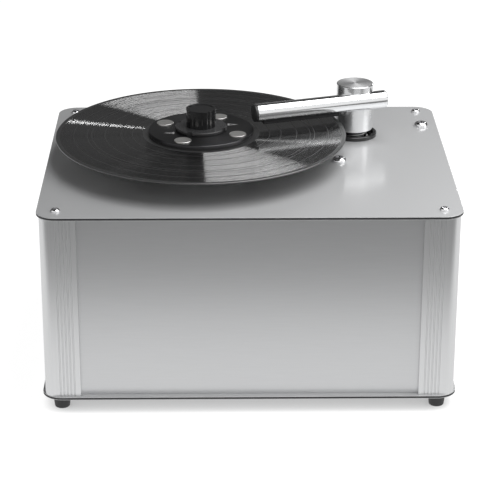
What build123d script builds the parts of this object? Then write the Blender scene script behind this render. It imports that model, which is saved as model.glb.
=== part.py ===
from build123d import *
import math
import os

# Record cleaning machine: a case of sandwich sheet and corner extrusions, with a turning platter
# and clamp, a hollow suction arm on a sprung column, a waste canister and a suction fan.
# Millimetres. The origin is on the floor under the middle of the case, +X is right, +Y is the
# rear and +Z is up.

# ---------------------------------------------------------------------------- driving dimensions

# Sheet, plates and feet
sheet = 3.0
plate_corner_radius = 20.0
post_height = 189.0
foot_height = 15.0
foot_top_diameter = 18.5
foot_bottom_diameter = 15.0
foot_recess_depth = 5.0
foot_edge_radius = 1.0

# How the deck is laid out: its width and depth follow from what stands on it
record_diameter = 301.0
record_to_left_edge = 8.5
record_to_front_edge = 26.8
arm_from_platter_x = 163.6
arm_from_platter_y = 65.8
arm_to_right_edge = 92.4
arm_to_rear_edge = 94.9

# Corner posts and the panels that slide into them
post_inset = 3.0
post_leg = 36.0
post_wall = 10.0
post_boss = 22.0
post_corner_radius = 17.0
panel_recess = 4.5
panel_slot_depth = 8.0
panel_side_gap = 0.15
panel_end_gap = 0.5
flute_first = 16.0
flute_pitch = 3.5
flute_count = 5
flute_diameter = 1.4

# Screws
case_screw_diameter = 5.0
case_screw_head = 9.5
case_screw_head_height = 2.75
case_screw_socket = 3.0
case_screw_grip = 14.0
case_screw_inset = 18.8
fixing_screw_diameter = 4.0
fixing_screw_head = 7.6
fixing_screw_head_height = 2.2
fixing_screw_socket = 2.5
fixing_screw_bite = 2.0
canister_bolt_diameter = 8.0
canister_bolt_head = 15.0
canister_bolt_head_height = 4.4
canister_bolt_socket = 5.0
canister_nut_width = 13.0
canister_nut_height = 6.5
screw_hole_gap = 0.2
thread_gap = 0.05
button_rim_share = 0.2
button_crown_share = 0.3
button_dome_share = 0.45
button_socket_share = 0.6

# Record, platter, spindle and bearings
record_above_deck = 25.0
record_thickness = 1.7
record_rim_width = 3.5
record_bead_slope = 1.2
record_edge_chamfer = 0.4
record_label_diameter = 100.0
record_groove_step = 0.2
platter_diameter = 109.0
platter_thickness = 10.0
platter_chamfer = 1.0
mat_thickness = 1.5
pin_diameter = 7.1
pin_above_record = 13.0
pin_fit = 0.07
spindle_diameter = 10.0
spindle_collar_diameter = 16.0
spindle_flange_diameter = 44.0
spindle_flange_thickness = 3.0
bearing_diameter = 26.0
bearing_width = 8.0
bearing_fit = 0.05
bearing_shoulder = 2.0
housing_diameter = 34.0
housing_flange_diameter = 70.0
housing_flange_thickness = 5.0
housing_above_deck = 2.0
housing_length = 52.0
housing_screw_circle = 54.0
plate_hole_gap = 0.3
flange_screw_angles = (30, 150, 270)

# Belt drive
driven_pulley_diameter = 60.0
motor_pulley_diameter = 20.0
pulley_flange = 2.0
pulley_width = 8.0
pulley_below_housing = 3.0
belt_width = 5.0
belt_thickness = 1.2
belt_gap = 0.3
motor_from_platter_x = -80.0
motor_from_platter_y = -55.0
motor_shaft_diameter = 8.0
motor_shaft_in_gearbox = 11.5
bracket_width = 56.0
bracket_sheet = 3.0
bracket_below_pulley = 2.0
bracket_flange = 22.0
bracket_screw_pitch = 37.0
bracket_shaft_gap = 1.0
gearbox_width = 50.0
gearbox_height = 23.0
gearbox_corner = 4.0
motor_diameter = 40.0
motor_length = 50.0
motor_chamfer = 2.0

# Record clamp: as wide as the platter, so that its seal presses on the record right over the mat
clamp_diameter = platter_diameter
clamp_seal_thickness = 1.2
clamp_seal_width = 8.0
clamp_seal_inset = 0.5
clamp_plate_thickness = 3.3
clamp_plate_round = 0.8
clamp_hub_diameter = 53.4
clamp_hub_height = 3.7
clamp_hub_notch = 3.0
clamp_hub_chamfer = 0.6
clamp_knob_diameter = 30.7
clamp_knob_height = 19.0
clamp_knob_scallops = 12
knob_scallop_radius = 4.0
knob_scallop_depth = 0.5
knob_dish_rim = 2.5
knob_dish_depth = 0.6
magnet_diameter = 17.5
magnet_circle = 84.0
magnet_first_angle = 64.0
magnet_thickness = 3.7
magnet_floor = 0.6
magnet_fit = 0.1
magnet_chamfer = 0.4

# Suction arm
column_diameter = 39.0
column_bottom = 7.7
column_top = 58.3
column_bore = 16.0
column_bore_top = 46.0
column_foot_chamfer = 0.6
column_head_chamfer = 0.8
arm_tube_diameter = 19.0
arm_tube_wall = 1.5
arm_tube_height = 42.0
arm_tube_offset = 15.7
arm_tube_chamfer = 0.5
arm_angle = 18.63
arm_tip_reach = 117.4
arm_tail_reach = 28.8
arm_end_cap_length = 3.0
arm_end_cap_chamfer = 1.2
tip_plug_length = 2.7
tip_plug_step = 0.4
tip_plug_round = 0.8
insert_depth = 8.0
insert_fit = 0.05
arm_port_diameter = 10.0
slot_width = 1.6
slot_length = 80.0
slot_from_tip = 9.0
pad_width = 4.0
pad_thickness = 4.0
pad_overlap = 3.0
pad_gap = 0.6
pad_corner = 0.8
pad_end_gap = 0.5
arm_flat_margin = 0.1

# Arm stem, its guide and the lift spring
stem_diameter = 22.0
stem_bore = 16.0
stem_engagement = 16.0
stem_length = 94.0
stem_fit = 0.05
stem_clip_diameter = 30.0
stem_clip_thickness = 4.0
guide_diameter = 40.0
guide_length = 45.0
guide_flange_diameter = 62.0
guide_flange_thickness = 5.0
guide_screw_circle = 51.0
bush_diameter = 28.0
bush_length = 8.0
spring_pocket_depth = 25.0
spring_pocket_diameter = 34.6
washer_diameter = 34.0
washer_thickness = 1.5
spring_wire = 2.0
spring_mean_diameter = 28.0
spring_turns = 5
arm_ring_diameter = 48.4
arm_ring_bore = 40.6
arm_ring_height = 4.3
arm_ring_chamfer = 0.8

# Waste canister, hung from the deck
canister_from_arm_x = -5.0
canister_bolt_angle = 19.4
canister_bolt_to_panel = 6.8
canister_bolt_to_wall = 13.5
canister_lug_radius = 10.0
canister_spacer_diameter = 12.0
canister_lid_drop = 17.0
canister_lid_thickness = 5.0
canister_flange_thickness = 5.0
canister_height = 110.0
canister_wall = 3.0
lug_panel_gap = 0.3

# Hoses
suction_hose_diameter = 32.0
suction_hose_wall = 2.0
suction_hose_bend = 24.0
suction_spigot_length = 12.0
suction_hose_below_lid = 30.0
hose_fit = 0.1
hose_clip_thickness = 1.5
hose_clip_width = 8.0
hose_clip_margin = 2.0
drain_hose_diameter = 12.0
drain_hose_wall = 2.0
drain_hose_bend = 14.0
drain_hose_drop = 25.0
drain_spigot_length = 8.0
drain_spigot_bore = 3.9
drain_from_canister_y = 40.0
drain_flange_diameter = 18.0
drain_flange_thickness = 2.0
drain_tip_length = 5.0
drain_cap_diameter = 16.0
drain_cap_length = 6.5
drain_cap_chamfer = 0.8
drain_cap_fit = 0.08
drain_cap_gap = 0.15

# Suction fan
fan_diameter = 124.0
fan_height = 80.0
fan_wall = 3.0
fan_from_platter_x = -11.6
fan_outlet_width = 41.0
impeller_diameter = 106.0
impeller_height = 16.0
impeller_sheet = 2.0
impeller_hub = 20.0
impeller_blades = 9
impeller_blade_root = 2.0
impeller_top_gap = 4.0
fan_shaft_diameter = 6.0
fan_shaft_in_motor = 28.0
fan_motor_diameter = 76.0
fan_motor_height = 42.0
fan_motor_round = 3.0
exhaust_slots = 8
exhaust_slot_width = 3.0
exhaust_slot_height = 40.0
exhaust_slot_pitch = 8.0
exhaust_above_plate = 48.0

# Mains inlet, switches and board
inlet_from_left_edge = 57.0
inlet_height = 60.0
inlet_flange_width = 31.0
inlet_flange_height = 23.0
inlet_flange_thickness = 2.0
inlet_body_width = 27.0
inlet_body_height = 19.5
inlet_body_depth = 20.0
inlet_socket_width = 24.0
inlet_socket_height = 16.5
inlet_socket_depth = 18.0
inlet_pin_length = 9.0
inlet_pin_pitch = 7.0
inlet_pin_width = 2.0
inlet_pin_height = 4.0
inlet_pin_stagger = 2.0
inlet_corner = 3.0
cutout_gap = 0.1
switch_flange_width = 15.0
switch_flange_length = 21.0
switch_flange_thickness = 2.0
switch_flange_corner = 1.5
switch_body_width = 12.9
switch_body_length = 19.0
switch_body_depth = 16.0
switch_well_depth = 10.0
switch_well_wall = 1.0
switch_blade_pitch = 6.0
switch_blade_width = 4.8
switch_blade_thickness = 0.8
switch_blade_length = 7.0
rocker_side_gap = 0.3
rocker_end_gap = 0.35
rocker_tilt = 9.0
rocker_pin_diameter = 2.4
rocker_pin_fit = 0.05
rocker_middle = 2.6
rocker_shoulder = 4.4
rocker_depth = 4.0
power_switch_from_inlet = 40.0
side_switch_from_front = 62.0
side_switch_pitch = 34.0
side_switch_below_deck = 55.0
board_width = 90.0
board_depth = 60.0
board_thickness = 1.6
board_standoff = 8.0
board_post_diameter = 6.0
board_post_inset = 4.0
board_from_right_edge = 105.0
board_from_front_edge = 80.0
transformer_size = 36.0
transformer_height = 32.0
transformer_from_middle = 22.5
capacitor_diameter = 16.0
capacitor_height = 16.0
capacitor_pitch = 22.0
capacitor_from_middle = 22.5

# ------------------------------------------------------------------------ places worked out once

record_radius = record_diameter / 2
deck_width = record_to_left_edge + record_radius + arm_from_platter_x + arm_to_right_edge
deck_depth = record_to_front_edge + record_radius + arm_from_platter_y + arm_to_rear_edge
left_edge = -deck_width / 2
front_edge = -deck_depth / 2
right_edge = deck_width / 2
rear_edge = deck_depth / 2

bottom_top = foot_height + sheet
deck_bottom = bottom_top + post_height
deck_top = deck_bottom + sheet

post_face_x = right_edge - post_inset
post_face_y = rear_edge - post_inset
panel_face_x = post_face_x - panel_recess
panel_face_y = post_face_y - panel_recess
panel_inner_x = panel_face_x - sheet
panel_inner_y = panel_face_y - sheet
screw_x = right_edge - case_screw_inset
screw_y = rear_edge - case_screw_inset
corner_points = [(x * screw_x, y * screw_y) for y in (-1, 1) for x in (-1, 1)]

platter_x = left_edge + record_to_left_edge + record_radius
platter_y = front_edge + record_to_front_edge + record_radius
arm_x = platter_x + arm_from_platter_x
arm_y = platter_y + arm_from_platter_y
motor_x = platter_x + motor_from_platter_x
motor_y = platter_y + motor_from_platter_y

record_top = deck_top + record_above_deck
record_bottom = record_top - record_thickness
mat_bottom = record_bottom - mat_thickness
platter_bottom = mat_bottom - platter_thickness
housing_top = deck_top + housing_above_deck
housing_bottom = housing_top - housing_length
pulley_top = housing_bottom - pulley_below_housing
pulley_bottom = pulley_top - pulley_width
bracket_top = pulley_bottom - bracket_below_pulley
bracket_bottom = bracket_top - bracket_sheet
gearbox_bottom = bracket_bottom - gearbox_height
belt_bottom = (pulley_top + pulley_bottom - belt_width) / 2

column_base = deck_top + column_bottom
column_head = deck_top + column_top
tube_axis_z = deck_top + arm_tube_height
tube_radius = arm_tube_diameter / 2
pad_half_spread = slot_width / 2 + pad_gap + pad_width
flat_half_width = pad_half_spread + arm_flat_margin
flat_depth = math.sqrt(tube_radius**2 - flat_half_width**2)
flat_z = tube_axis_z - flat_depth

canister_x = arm_x + canister_from_arm_x
canister_y = arm_y
canister_to_panel = panel_inner_x - canister_x
canister_bolt_circle = (canister_to_panel - canister_bolt_to_panel) / math.cos(
    math.radians(canister_bolt_angle)
)
canister_radius = canister_bolt_circle - canister_bolt_to_wall
canister_bolt_points = [
    (
        canister_x + canister_bolt_circle * math.cos(math.radians(canister_bolt_angle + turn)),
        canister_y + canister_bolt_circle * math.sin(math.radians(canister_bolt_angle + turn)),
    )
    for turn in (0, 120, 240)
]
lid_top = deck_bottom - canister_lid_drop
lid_bottom = lid_top - canister_lid_thickness
canister_flange_bottom = lid_bottom - canister_flange_thickness
canister_bottom = lid_bottom - canister_height
fan_x = platter_x + fan_from_platter_x
fan_y = canister_y
fan_top = bottom_top + fan_height
hose_axis_z = lid_bottom - suction_hose_below_lid
suction_spigot_diameter = suction_hose_diameter - 2 * suction_hose_wall - 2 * hose_fit
drain_spigot_diameter = drain_hose_diameter - 2 * drain_hose_wall - 2 * hose_fit
drain_axis_z = canister_bottom - drain_hose_drop
drain_y = canister_y + drain_from_canister_y
inlet_x = left_edge + inlet_from_left_edge
switch_heights = deck_bottom - side_switch_below_deck
platter_switch_y = front_edge + side_switch_from_front
suction_switch_y = platter_switch_y + side_switch_pitch

# Planes on the outer faces of the rear and right panels, with local X upwards for the switches
power_switch_plane = Plane(
    origin=(inlet_x + power_switch_from_inlet, panel_face_y, inlet_height),
    x_dir=(0, 0, 1),
    z_dir=(0, 1, 0),
)
platter_switch_plane = Plane(
    origin=(panel_face_x, platter_switch_y, switch_heights), x_dir=(0, 0, 1), z_dir=(1, 0, 0)
)
suction_switch_plane = Plane(
    origin=(panel_face_x, suction_switch_y, switch_heights), x_dir=(0, 0, 1), z_dir=(1, 0, 0)
)
inlet_plane = Plane(
    origin=(inlet_x, panel_face_y, inlet_height), x_dir=(-1, 0, 0), z_dir=(0, 1, 0)
)
# The arm's own plane: X runs along the tube from its tip to its tail, Z is up, and the origin is
# the point of the tube's axis nearest to the column
arm_plane = Plane(
    origin=(
        arm_x + arm_tube_offset * math.sin(math.radians(arm_angle)),
        arm_y - arm_tube_offset * math.cos(math.radians(arm_angle)),
        tube_axis_z,
    ),
    x_dir=(math.cos(math.radians(arm_angle)), math.sin(math.radians(arm_angle)), 0),
    z_dir=(0, 0, 1),
)
tube_plane = Plane(origin=arm_plane.origin, x_dir=arm_plane.y_dir, z_dir=arm_plane.x_dir)
tube_axis = Axis(arm_plane.origin, arm_plane.x_dir)
port_plane = Plane(origin=arm_plane.origin, x_dir=arm_plane.x_dir, z_dir=arm_plane.y_dir)

os.makedirs("parts", exist_ok=True)


# ----------------------------------------------------------------------------------------- screws


def button_screw(diameter, head, head_height, socket, length):
    """A button-head socket screw: the head stands on Z 0 and the shank hangs below it."""
    with BuildPart() as screw:
        with BuildSketch():
            Circle(diameter / 2)
        extrude(amount=-length)
        with BuildSketch(Plane.XZ):
            rim = (head / 2, head_height * button_rim_share)
            crown = (head * button_crown_share, head_height)
            with BuildLine():
                Polyline(crown, (0, head_height), (0, 0), (head / 2, 0), rim)
                RadiusArc(rim, crown, -head * button_dome_share)
            make_face()
        revolve(axis=Axis.Z)
        with BuildSketch(Plane.XY.offset(head_height)):
            RegularPolygon(socket / 2, 6, major_radius=False)
        extrude(amount=-head_height * button_socket_share, mode=Mode.SUBTRACT)
    return screw.part


case_screw_down = button_screw(
    case_screw_diameter,
    case_screw_head,
    case_screw_head_height,
    case_screw_socket,
    sheet + case_screw_grip,
)
case_screw_up = button_screw(
    case_screw_diameter,
    case_screw_head,
    case_screw_head_height,
    case_screw_socket,
    bottom_top - foot_recess_depth + case_screw_grip,
)
canister_bolt = button_screw(
    canister_bolt_diameter,
    canister_bolt_head,
    canister_bolt_head_height,
    canister_bolt_socket,
    deck_top - canister_flange_bottom + canister_nut_height,
)

# Four screws hold the top plate to the posts, and four more go up through the feet
with BuildPart() as case_screws:
    with Locations(*[(x, y, deck_top) for x, y in corner_points]):
        add(case_screw_down)
    with Locations(*[Location((x, y, foot_recess_depth), (180, 0, 0)) for x, y in corner_points]):
        add(case_screw_up)
case_screws.part.label = "case_screws"
export_step(case_screws.part, "parts/case_screws.step")

# Three domed bolts hang the canister from the deck, each with its nut
with BuildPart() as canister_bolts:
    with Locations(*[(x, y, deck_top) for x, y in canister_bolt_points]):
        add(canister_bolt)
    with BuildSketch(Plane.XY.offset(canister_flange_bottom - canister_nut_height)):
        with Locations(*canister_bolt_points):
            RegularPolygon(canister_nut_width / 2, 6, major_radius=False, rotation=30)
            Circle(canister_bolt_diameter / 2 + thread_gap, mode=Mode.SUBTRACT)
    extrude(amount=canister_nut_height)
canister_bolts.part.label = "canister_bolts"
export_step(canister_bolts.part, "parts/canister_bolts.step")

# Short screws go up into the deck from below: the bearing housing, the guide housing, the bracket
housing_screw_points = [
    (
        platter_x + housing_screw_circle / 2 * math.cos(math.radians(turn)),
        platter_y + housing_screw_circle / 2 * math.sin(math.radians(turn)),
    )
    for turn in flange_screw_angles
]
guide_screw_points = [
    (
        arm_x + guide_screw_circle / 2 * math.cos(math.radians(turn)),
        arm_y + guide_screw_circle / 2 * math.sin(math.radians(turn)),
    )
    for turn in flange_screw_angles
]
bracket_flange_x = motor_x - bracket_width / 2 - bracket_sheet - bracket_flange / 2
bracket_screw_points = [
    (bracket_flange_x, motor_y + side * bracket_screw_pitch / 2) for side in (-1, 1)
]
with BuildPart() as fixing_screws:
    for points, flange_thickness in (
        (housing_screw_points, housing_flange_thickness),
        (guide_screw_points, guide_flange_thickness),
        (bracket_screw_points, bracket_sheet),
    ):
        fixing_screw = button_screw(
            fixing_screw_diameter,
            fixing_screw_head,
            fixing_screw_head_height,
            fixing_screw_socket,
            flange_thickness + fixing_screw_bite,
        )
        head_z = deck_bottom - flange_thickness
        with Locations(*[Location((x, y, head_z), (180, 0, 0)) for x, y in points]):
            add(fixing_screw)
fixing_screws.part.label = "fixing_screws"
export_step(fixing_screws.part, "parts/fixing_screws.step")

# ------------------------------------------------------------------------------------------- case

case_hole_radius = case_screw_diameter / 2 + screw_hole_gap
fixing_hole_radius = fixing_screw_diameter / 2 + thread_gap
canister_hole_radius = canister_bolt_diameter / 2 + screw_hole_gap

# Top plate: the deck, with the holes for what hangs from it and what turns through it
with BuildPart() as top_plate:
    with BuildSketch(Plane.XY.offset(deck_bottom)):
        RectangleRounded(deck_width, deck_depth, plate_corner_radius)
        with Locations(*corner_points):
            Circle(case_hole_radius, mode=Mode.SUBTRACT)
        with Locations(*canister_bolt_points):
            Circle(canister_hole_radius, mode=Mode.SUBTRACT)
        with Locations((platter_x, platter_y)):
            Circle(housing_diameter / 2 + plate_hole_gap, mode=Mode.SUBTRACT)
        with Locations((arm_x, arm_y)):
            Circle(guide_diameter / 2 + plate_hole_gap, mode=Mode.SUBTRACT)
    extrude(amount=sheet)
    with BuildSketch(Plane.XY.offset(deck_bottom)):
        with Locations(*housing_screw_points, *guide_screw_points, *bracket_screw_points):
            Circle(fixing_hole_radius)
    extrude(amount=fixing_screw_bite + screw_hole_gap, mode=Mode.SUBTRACT)
top_plate.part.label = "top_plate"
export_step(top_plate.part, "parts/top_plate.step")

# Bottom plate: the same outline on the feet
with BuildPart() as bottom_plate:
    with BuildSketch(Plane.XY.offset(foot_height)):
        RectangleRounded(deck_width, deck_depth, plate_corner_radius)
        with Locations(*corner_points):
            Circle(case_hole_radius, mode=Mode.SUBTRACT)
    extrude(amount=sheet)
bottom_plate.part.label = "bottom_plate"
export_step(bottom_plate.part, "parts/bottom_plate.step")

panel_slot_width = sheet + 2 * panel_side_gap

# Corner posts: one extruded section, with flutes, panel slots and a screw bore, at each corner
for side_y, end_name in ((-1, "front"), (1, "rear")):
    for side_x, side_name in ((-1, "left"), (1, "right")):
        with BuildPart() as corner_post:
            with BuildSketch(Plane.XY.offset(bottom_top)) as section:
                for size_x, size_y in (
                    (post_leg, post_wall),
                    (post_wall, post_leg),
                    (post_boss, post_boss),
                ):
                    middle_x = side_x * (post_face_x - size_x / 2)
                    middle_y = side_y * (post_face_y - size_y / 2)
                    with Locations((middle_x, middle_y)):
                        Rectangle(size_x, size_y)
                corner = (side_x * post_face_x, side_y * post_face_y)
                fillet(section.vertices().sort_by_distance(corner)[0], radius=post_corner_radius)
                slot_x = post_face_x - post_leg + panel_slot_depth / 2
                slot_y = post_face_y - post_leg + panel_slot_depth / 2
                with Locations((side_x * slot_x, side_y * (panel_face_y - sheet / 2))):
                    Rectangle(panel_slot_depth, panel_slot_width, mode=Mode.SUBTRACT)
                with Locations((side_x * (panel_face_x - sheet / 2), side_y * slot_y)):
                    Rectangle(panel_slot_width, panel_slot_depth, mode=Mode.SUBTRACT)
                for flute in range(flute_count):
                    reach = flute_first + flute * flute_pitch
                    with Locations(
                        (side_x * (post_face_x - reach), side_y * post_face_y),
                        (side_x * post_face_x, side_y * (post_face_y - reach)),
                    ):
                        Circle(flute_diameter / 2, mode=Mode.SUBTRACT)
                with Locations((side_x * screw_x, side_y * screw_y)):
                    Circle(case_screw_diameter / 2 + thread_gap, mode=Mode.SUBTRACT)
            extrude(amount=post_height)
        corner_post.part.label = f"corner_post_{end_name}_{side_name}"
        export_step(corner_post.part, f"parts/corner_post_{end_name}_{side_name}.step")

panel_height = post_height - 2 * panel_side_gap
panel_middle = bottom_top + post_height / 2
long_panel = 2 * (post_face_x - post_leg + panel_slot_depth - panel_end_gap)
short_panel = 2 * (post_face_y - post_leg + panel_slot_depth - panel_end_gap)

# Front panel: plain sheet between the two front posts
with BuildPart() as front_panel:
    with Locations((0, -panel_face_y + sheet / 2, panel_middle)):
        Box(long_panel, sheet, panel_height)
front_panel.part.label = "front_panel"
export_step(front_panel.part, "parts/front_panel.step")

# Rear panel: cutouts for the mains inlet, the power switch and the drain, and the exhaust slots
exhaust_middle = bottom_top + exhaust_above_plate
with BuildPart() as rear_panel:
    with Locations((0, panel_face_y - sheet / 2, panel_middle)):
        Box(long_panel, sheet, panel_height)
    with BuildSketch(inlet_plane):
        Rectangle(inlet_body_width + 2 * cutout_gap, inlet_body_height + 2 * cutout_gap)
    extrude(amount=-sheet, mode=Mode.SUBTRACT)
    with BuildSketch(power_switch_plane):
        Rectangle(switch_body_length + 2 * cutout_gap, switch_body_width + 2 * cutout_gap)
    extrude(amount=-sheet, mode=Mode.SUBTRACT)
    with BuildSketch(Plane.XZ.offset(-panel_face_y)):
        with Locations((canister_x, drain_axis_z)):
            Circle(drain_spigot_diameter / 2 + cutout_gap)
        with Locations((fan_x, exhaust_middle)):
            with GridLocations(exhaust_slot_pitch, 1, exhaust_slots, 1):
                SlotOverall(exhaust_slot_height, exhaust_slot_width, rotation=90)
    extrude(amount=sheet, mode=Mode.SUBTRACT)
rear_panel.part.label = "rear_panel"
export_step(rear_panel.part, "parts/rear_panel.step")

with BuildPart() as left_panel:
    with Locations((-panel_face_x + sheet / 2, 0, panel_middle)):
        Box(sheet, short_panel, panel_height)
left_panel.part.label = "left_panel"
export_step(left_panel.part, "parts/left_panel.step")

# Right panel: cutouts for the platter and suction switches
with BuildPart() as right_panel:
    with Locations((panel_face_x - sheet / 2, 0, panel_middle)):
        Box(sheet, short_panel, panel_height)
    for switch_plane in (platter_switch_plane, suction_switch_plane):
        with BuildSketch(switch_plane):
            Rectangle(switch_body_length + 2 * cutout_gap, switch_body_width + 2 * cutout_gap)
        extrude(amount=-sheet, mode=Mode.SUBTRACT)
right_panel.part.label = "right_panel"
export_step(right_panel.part, "parts/right_panel.step")

# Rubber feet: tapered, with a rounded lower edge and a recess for the screw head
with BuildPart() as feet:
    with Locations(*[(x, y, foot_height / 2) for x, y in corner_points]):
        Cone(foot_bottom_diameter / 2, foot_top_diameter / 2, foot_height)
    fillet(feet.edges().group_by(Axis.Z)[0], radius=foot_edge_radius)
    with BuildSketch():
        with Locations(*corner_points):
            Circle(case_screw_head / 2 + screw_hole_gap)
    extrude(amount=foot_recess_depth, mode=Mode.SUBTRACT)
    with BuildSketch():
        with Locations(*corner_points):
            Circle(case_hole_radius)
    extrude(amount=foot_height, mode=Mode.SUBTRACT)
feet.part.label = "feet"
export_step(feet.part, "parts/feet.step")

# -------------------------------------------------------------------- platter, spindle and record

platter_axis = Axis((platter_x, platter_y, 0), (0, 0, 1))
platter_section = Plane(origin=(platter_x, platter_y, 0), x_dir=(1, 0, 0), z_dir=(0, -1, 0))
magnet_points = [
    (
        platter_x + magnet_circle / 2 * math.cos(math.radians(magnet_first_angle + turn)),
        platter_y + magnet_circle / 2 * math.sin(math.radians(magnet_first_angle + turn)),
    )
    for turn in (0, 90, 180, 270)
]

# Bearing housing: a flanged tube under the deck, with a seat for a bearing at each end
with BuildPart() as bearing_housing:
    with BuildSketch(platter_section):
        seat = bearing_diameter / 2
        bore = seat - bearing_shoulder
        tube = housing_diameter / 2
        flange = housing_flange_diameter / 2
        flange_bottom = deck_bottom - housing_flange_thickness
        with BuildLine():
            Polyline(
                (seat, housing_bottom),
                (tube, housing_bottom),
                (tube, flange_bottom),
                (flange, flange_bottom),
                (flange, deck_bottom),
                (tube, deck_bottom),
                (tube, housing_top),
                (seat, housing_top),
                (seat, housing_top - bearing_width),
                (bore, housing_top - bearing_width),
                (bore, housing_bottom + bearing_width),
                (seat, housing_bottom + bearing_width),
                close=True,
            )
        make_face()
    revolve(axis=platter_axis)
    with BuildSketch(Plane.XY.offset(flange_bottom)):
        with Locations(*housing_screw_points):
            Circle(fixing_hole_radius)
    extrude(amount=housing_flange_thickness, mode=Mode.SUBTRACT)
bearing_housing.part.label = "bearing_housing"
export_step(bearing_housing.part, "parts/bearing_housing.step")

# Two ball bearings, each as one ring
with BuildPart() as spindle_bearings:
    for bearing_bottom in (housing_bottom, housing_top - bearing_width):
        with BuildSketch(Plane.XY.offset(bearing_bottom)):
            with Locations((platter_x, platter_y)):
                Circle(bearing_diameter / 2)
                Circle(spindle_diameter / 2 + bearing_fit, mode=Mode.SUBTRACT)
        extrude(amount=bearing_width)
spindle_bearings.part.label = "spindle_bearings"
export_step(spindle_bearings.part, "parts/spindle_bearings.step")

# Spindle: shaft, collar on the upper bearing, flange under the platter and the centre pin
with BuildPart() as spindle:
    with BuildSketch(platter_section):
        shaft = spindle_diameter / 2
        collar = spindle_collar_diameter / 2
        flange = spindle_flange_diameter / 2
        pin = pin_diameter / 2
        collar_bottom = housing_top + bearing_fit
        flange_bottom = platter_bottom - spindle_flange_thickness
        pin_top = record_top + pin_above_record
        with BuildLine():
            Polyline(
                (0, pulley_bottom),
                (shaft, pulley_bottom),
                (shaft, collar_bottom),
                (collar, collar_bottom),
                (collar, flange_bottom),
                (flange, flange_bottom),
                (flange, platter_bottom),
                (pin, platter_bottom),
                (pin, pin_top - pin / 2),
                (pin / 2, pin_top),
                (0, pin_top),
                close=True,
            )
        make_face()
    revolve(axis=platter_axis)
spindle.part.label = "spindle"
export_step(spindle.part, "parts/spindle.step")

pin_hole_radius = pin_diameter / 2 + pin_fit

# Platter: a label-sized turned disc, so that the record's underside hangs free
with BuildPart() as platter:
    with BuildSketch(Plane.XY.offset(platter_bottom)):
        with Locations((platter_x, platter_y)):
            Circle(platter_diameter / 2)
            Circle(pin_hole_radius, mode=Mode.SUBTRACT)
    extrude(amount=platter_thickness)
    chamfer(platter.faces().sort_by(Axis.Z)[0].outer_wire().edges(), length=platter_chamfer)
    with BuildSketch(Plane.XY.offset(mat_bottom - magnet_thickness)):
        with Locations(*magnet_points):
            Circle(magnet_diameter / 2 + magnet_fit)
    extrude(amount=magnet_thickness, mode=Mode.SUBTRACT)
platter.part.label = "platter"
export_step(platter.part, "parts/platter.step")

with BuildPart() as platter_magnets:
    with BuildSketch(Plane.XY.offset(mat_bottom - magnet_thickness)):
        with Locations(*magnet_points):
            Circle(magnet_diameter / 2)
    extrude(amount=magnet_thickness)
platter_magnets.part.label = "platter_magnets"
export_step(platter_magnets.part, "parts/platter_magnets.step")

with BuildPart() as platter_mat:
    with BuildSketch(Plane.XY.offset(mat_bottom)):
        with Locations((platter_x, platter_y)):
            Circle(platter_diameter / 2)
            Circle(pin_hole_radius, mode=Mode.SUBTRACT)
    extrude(amount=mat_thickness)
platter_mat.part.label = "platter_mat"
export_step(platter_mat.part, "parts/platter_mat.step")

# Record: thicker at the label and at the rim bead than over the grooves
with BuildPart() as record:
    with BuildSketch(platter_section):
        groove_top = record_top - record_groove_step
        groove_bottom = record_bottom + record_groove_step
        label = record_label_diameter / 2
        bead = record_radius - record_rim_width
        with BuildLine():
            Polyline(
                (pin_hole_radius, record_bottom),
                (label, record_bottom),
                (label + record_rim_width, groove_bottom),
                (bead, groove_bottom),
                (bead + record_bead_slope, record_bottom),
                (record_radius - record_edge_chamfer, record_bottom),
                (record_radius, record_bottom + record_edge_chamfer),
                (record_radius, record_top - record_edge_chamfer),
                (record_radius - record_edge_chamfer, record_top),
                (bead + record_bead_slope, record_top),
                (bead, groove_top),
                (label + record_rim_width, groove_top),
                (label, record_top),
                (pin_hole_radius, record_top),
                close=True,
            )
        make_face()
    revolve(axis=platter_axis)
record.part.label = "record"
export_step(record.part, "parts/record.step")

# -------------------------------------------------------------------------------------- belt drive

# Driven pulley on the foot of the spindle
with BuildPart() as driven_pulley:
    with BuildSketch(Plane.XY.offset(pulley_bottom)):
        with Locations((platter_x, platter_y)):
            Circle(driven_pulley_diameter / 2 + pulley_flange)
            Circle(spindle_diameter / 2 + bearing_fit, mode=Mode.SUBTRACT)
    extrude(amount=pulley_width)
    with BuildSketch(Plane.XY.offset(belt_bottom - belt_gap)):
        with Locations((platter_x, platter_y)):
            Circle(driven_pulley_diameter / 2 + pulley_flange)
            Circle(driven_pulley_diameter / 2, mode=Mode.SUBTRACT)
    extrude(amount=belt_width + 2 * belt_gap, mode=Mode.SUBTRACT)
driven_pulley.part.label = "driven_pulley"
export_step(driven_pulley.part, "parts/driven_pulley.step")

# Motor pulley with the gearbox's output shaft, which runs down through the bracket
shaft_bottom = bracket_bottom - motor_shaft_in_gearbox
with BuildPart() as motor_pulley:
    with BuildSketch(Plane.XY.offset(pulley_bottom)):
        with Locations((motor_x, motor_y)):
            Circle(motor_pulley_diameter / 2 + pulley_flange)
    extrude(amount=pulley_width)
    with BuildSketch(Plane.XY.offset(belt_bottom - belt_gap)):
        with Locations((motor_x, motor_y)):
            Circle(motor_pulley_diameter / 2 + pulley_flange)
            Circle(motor_pulley_diameter / 2, mode=Mode.SUBTRACT)
    extrude(amount=belt_width + 2 * belt_gap, mode=Mode.SUBTRACT)
    with BuildSketch(Plane.XY.offset(shaft_bottom)):
        with Locations((motor_x, motor_y)):
            Circle(motor_shaft_diameter / 2)
    extrude(amount=pulley_bottom - shaft_bottom)
motor_pulley.part.label = "motor_pulley"
export_step(motor_pulley.part, "parts/motor_pulley.step")

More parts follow.
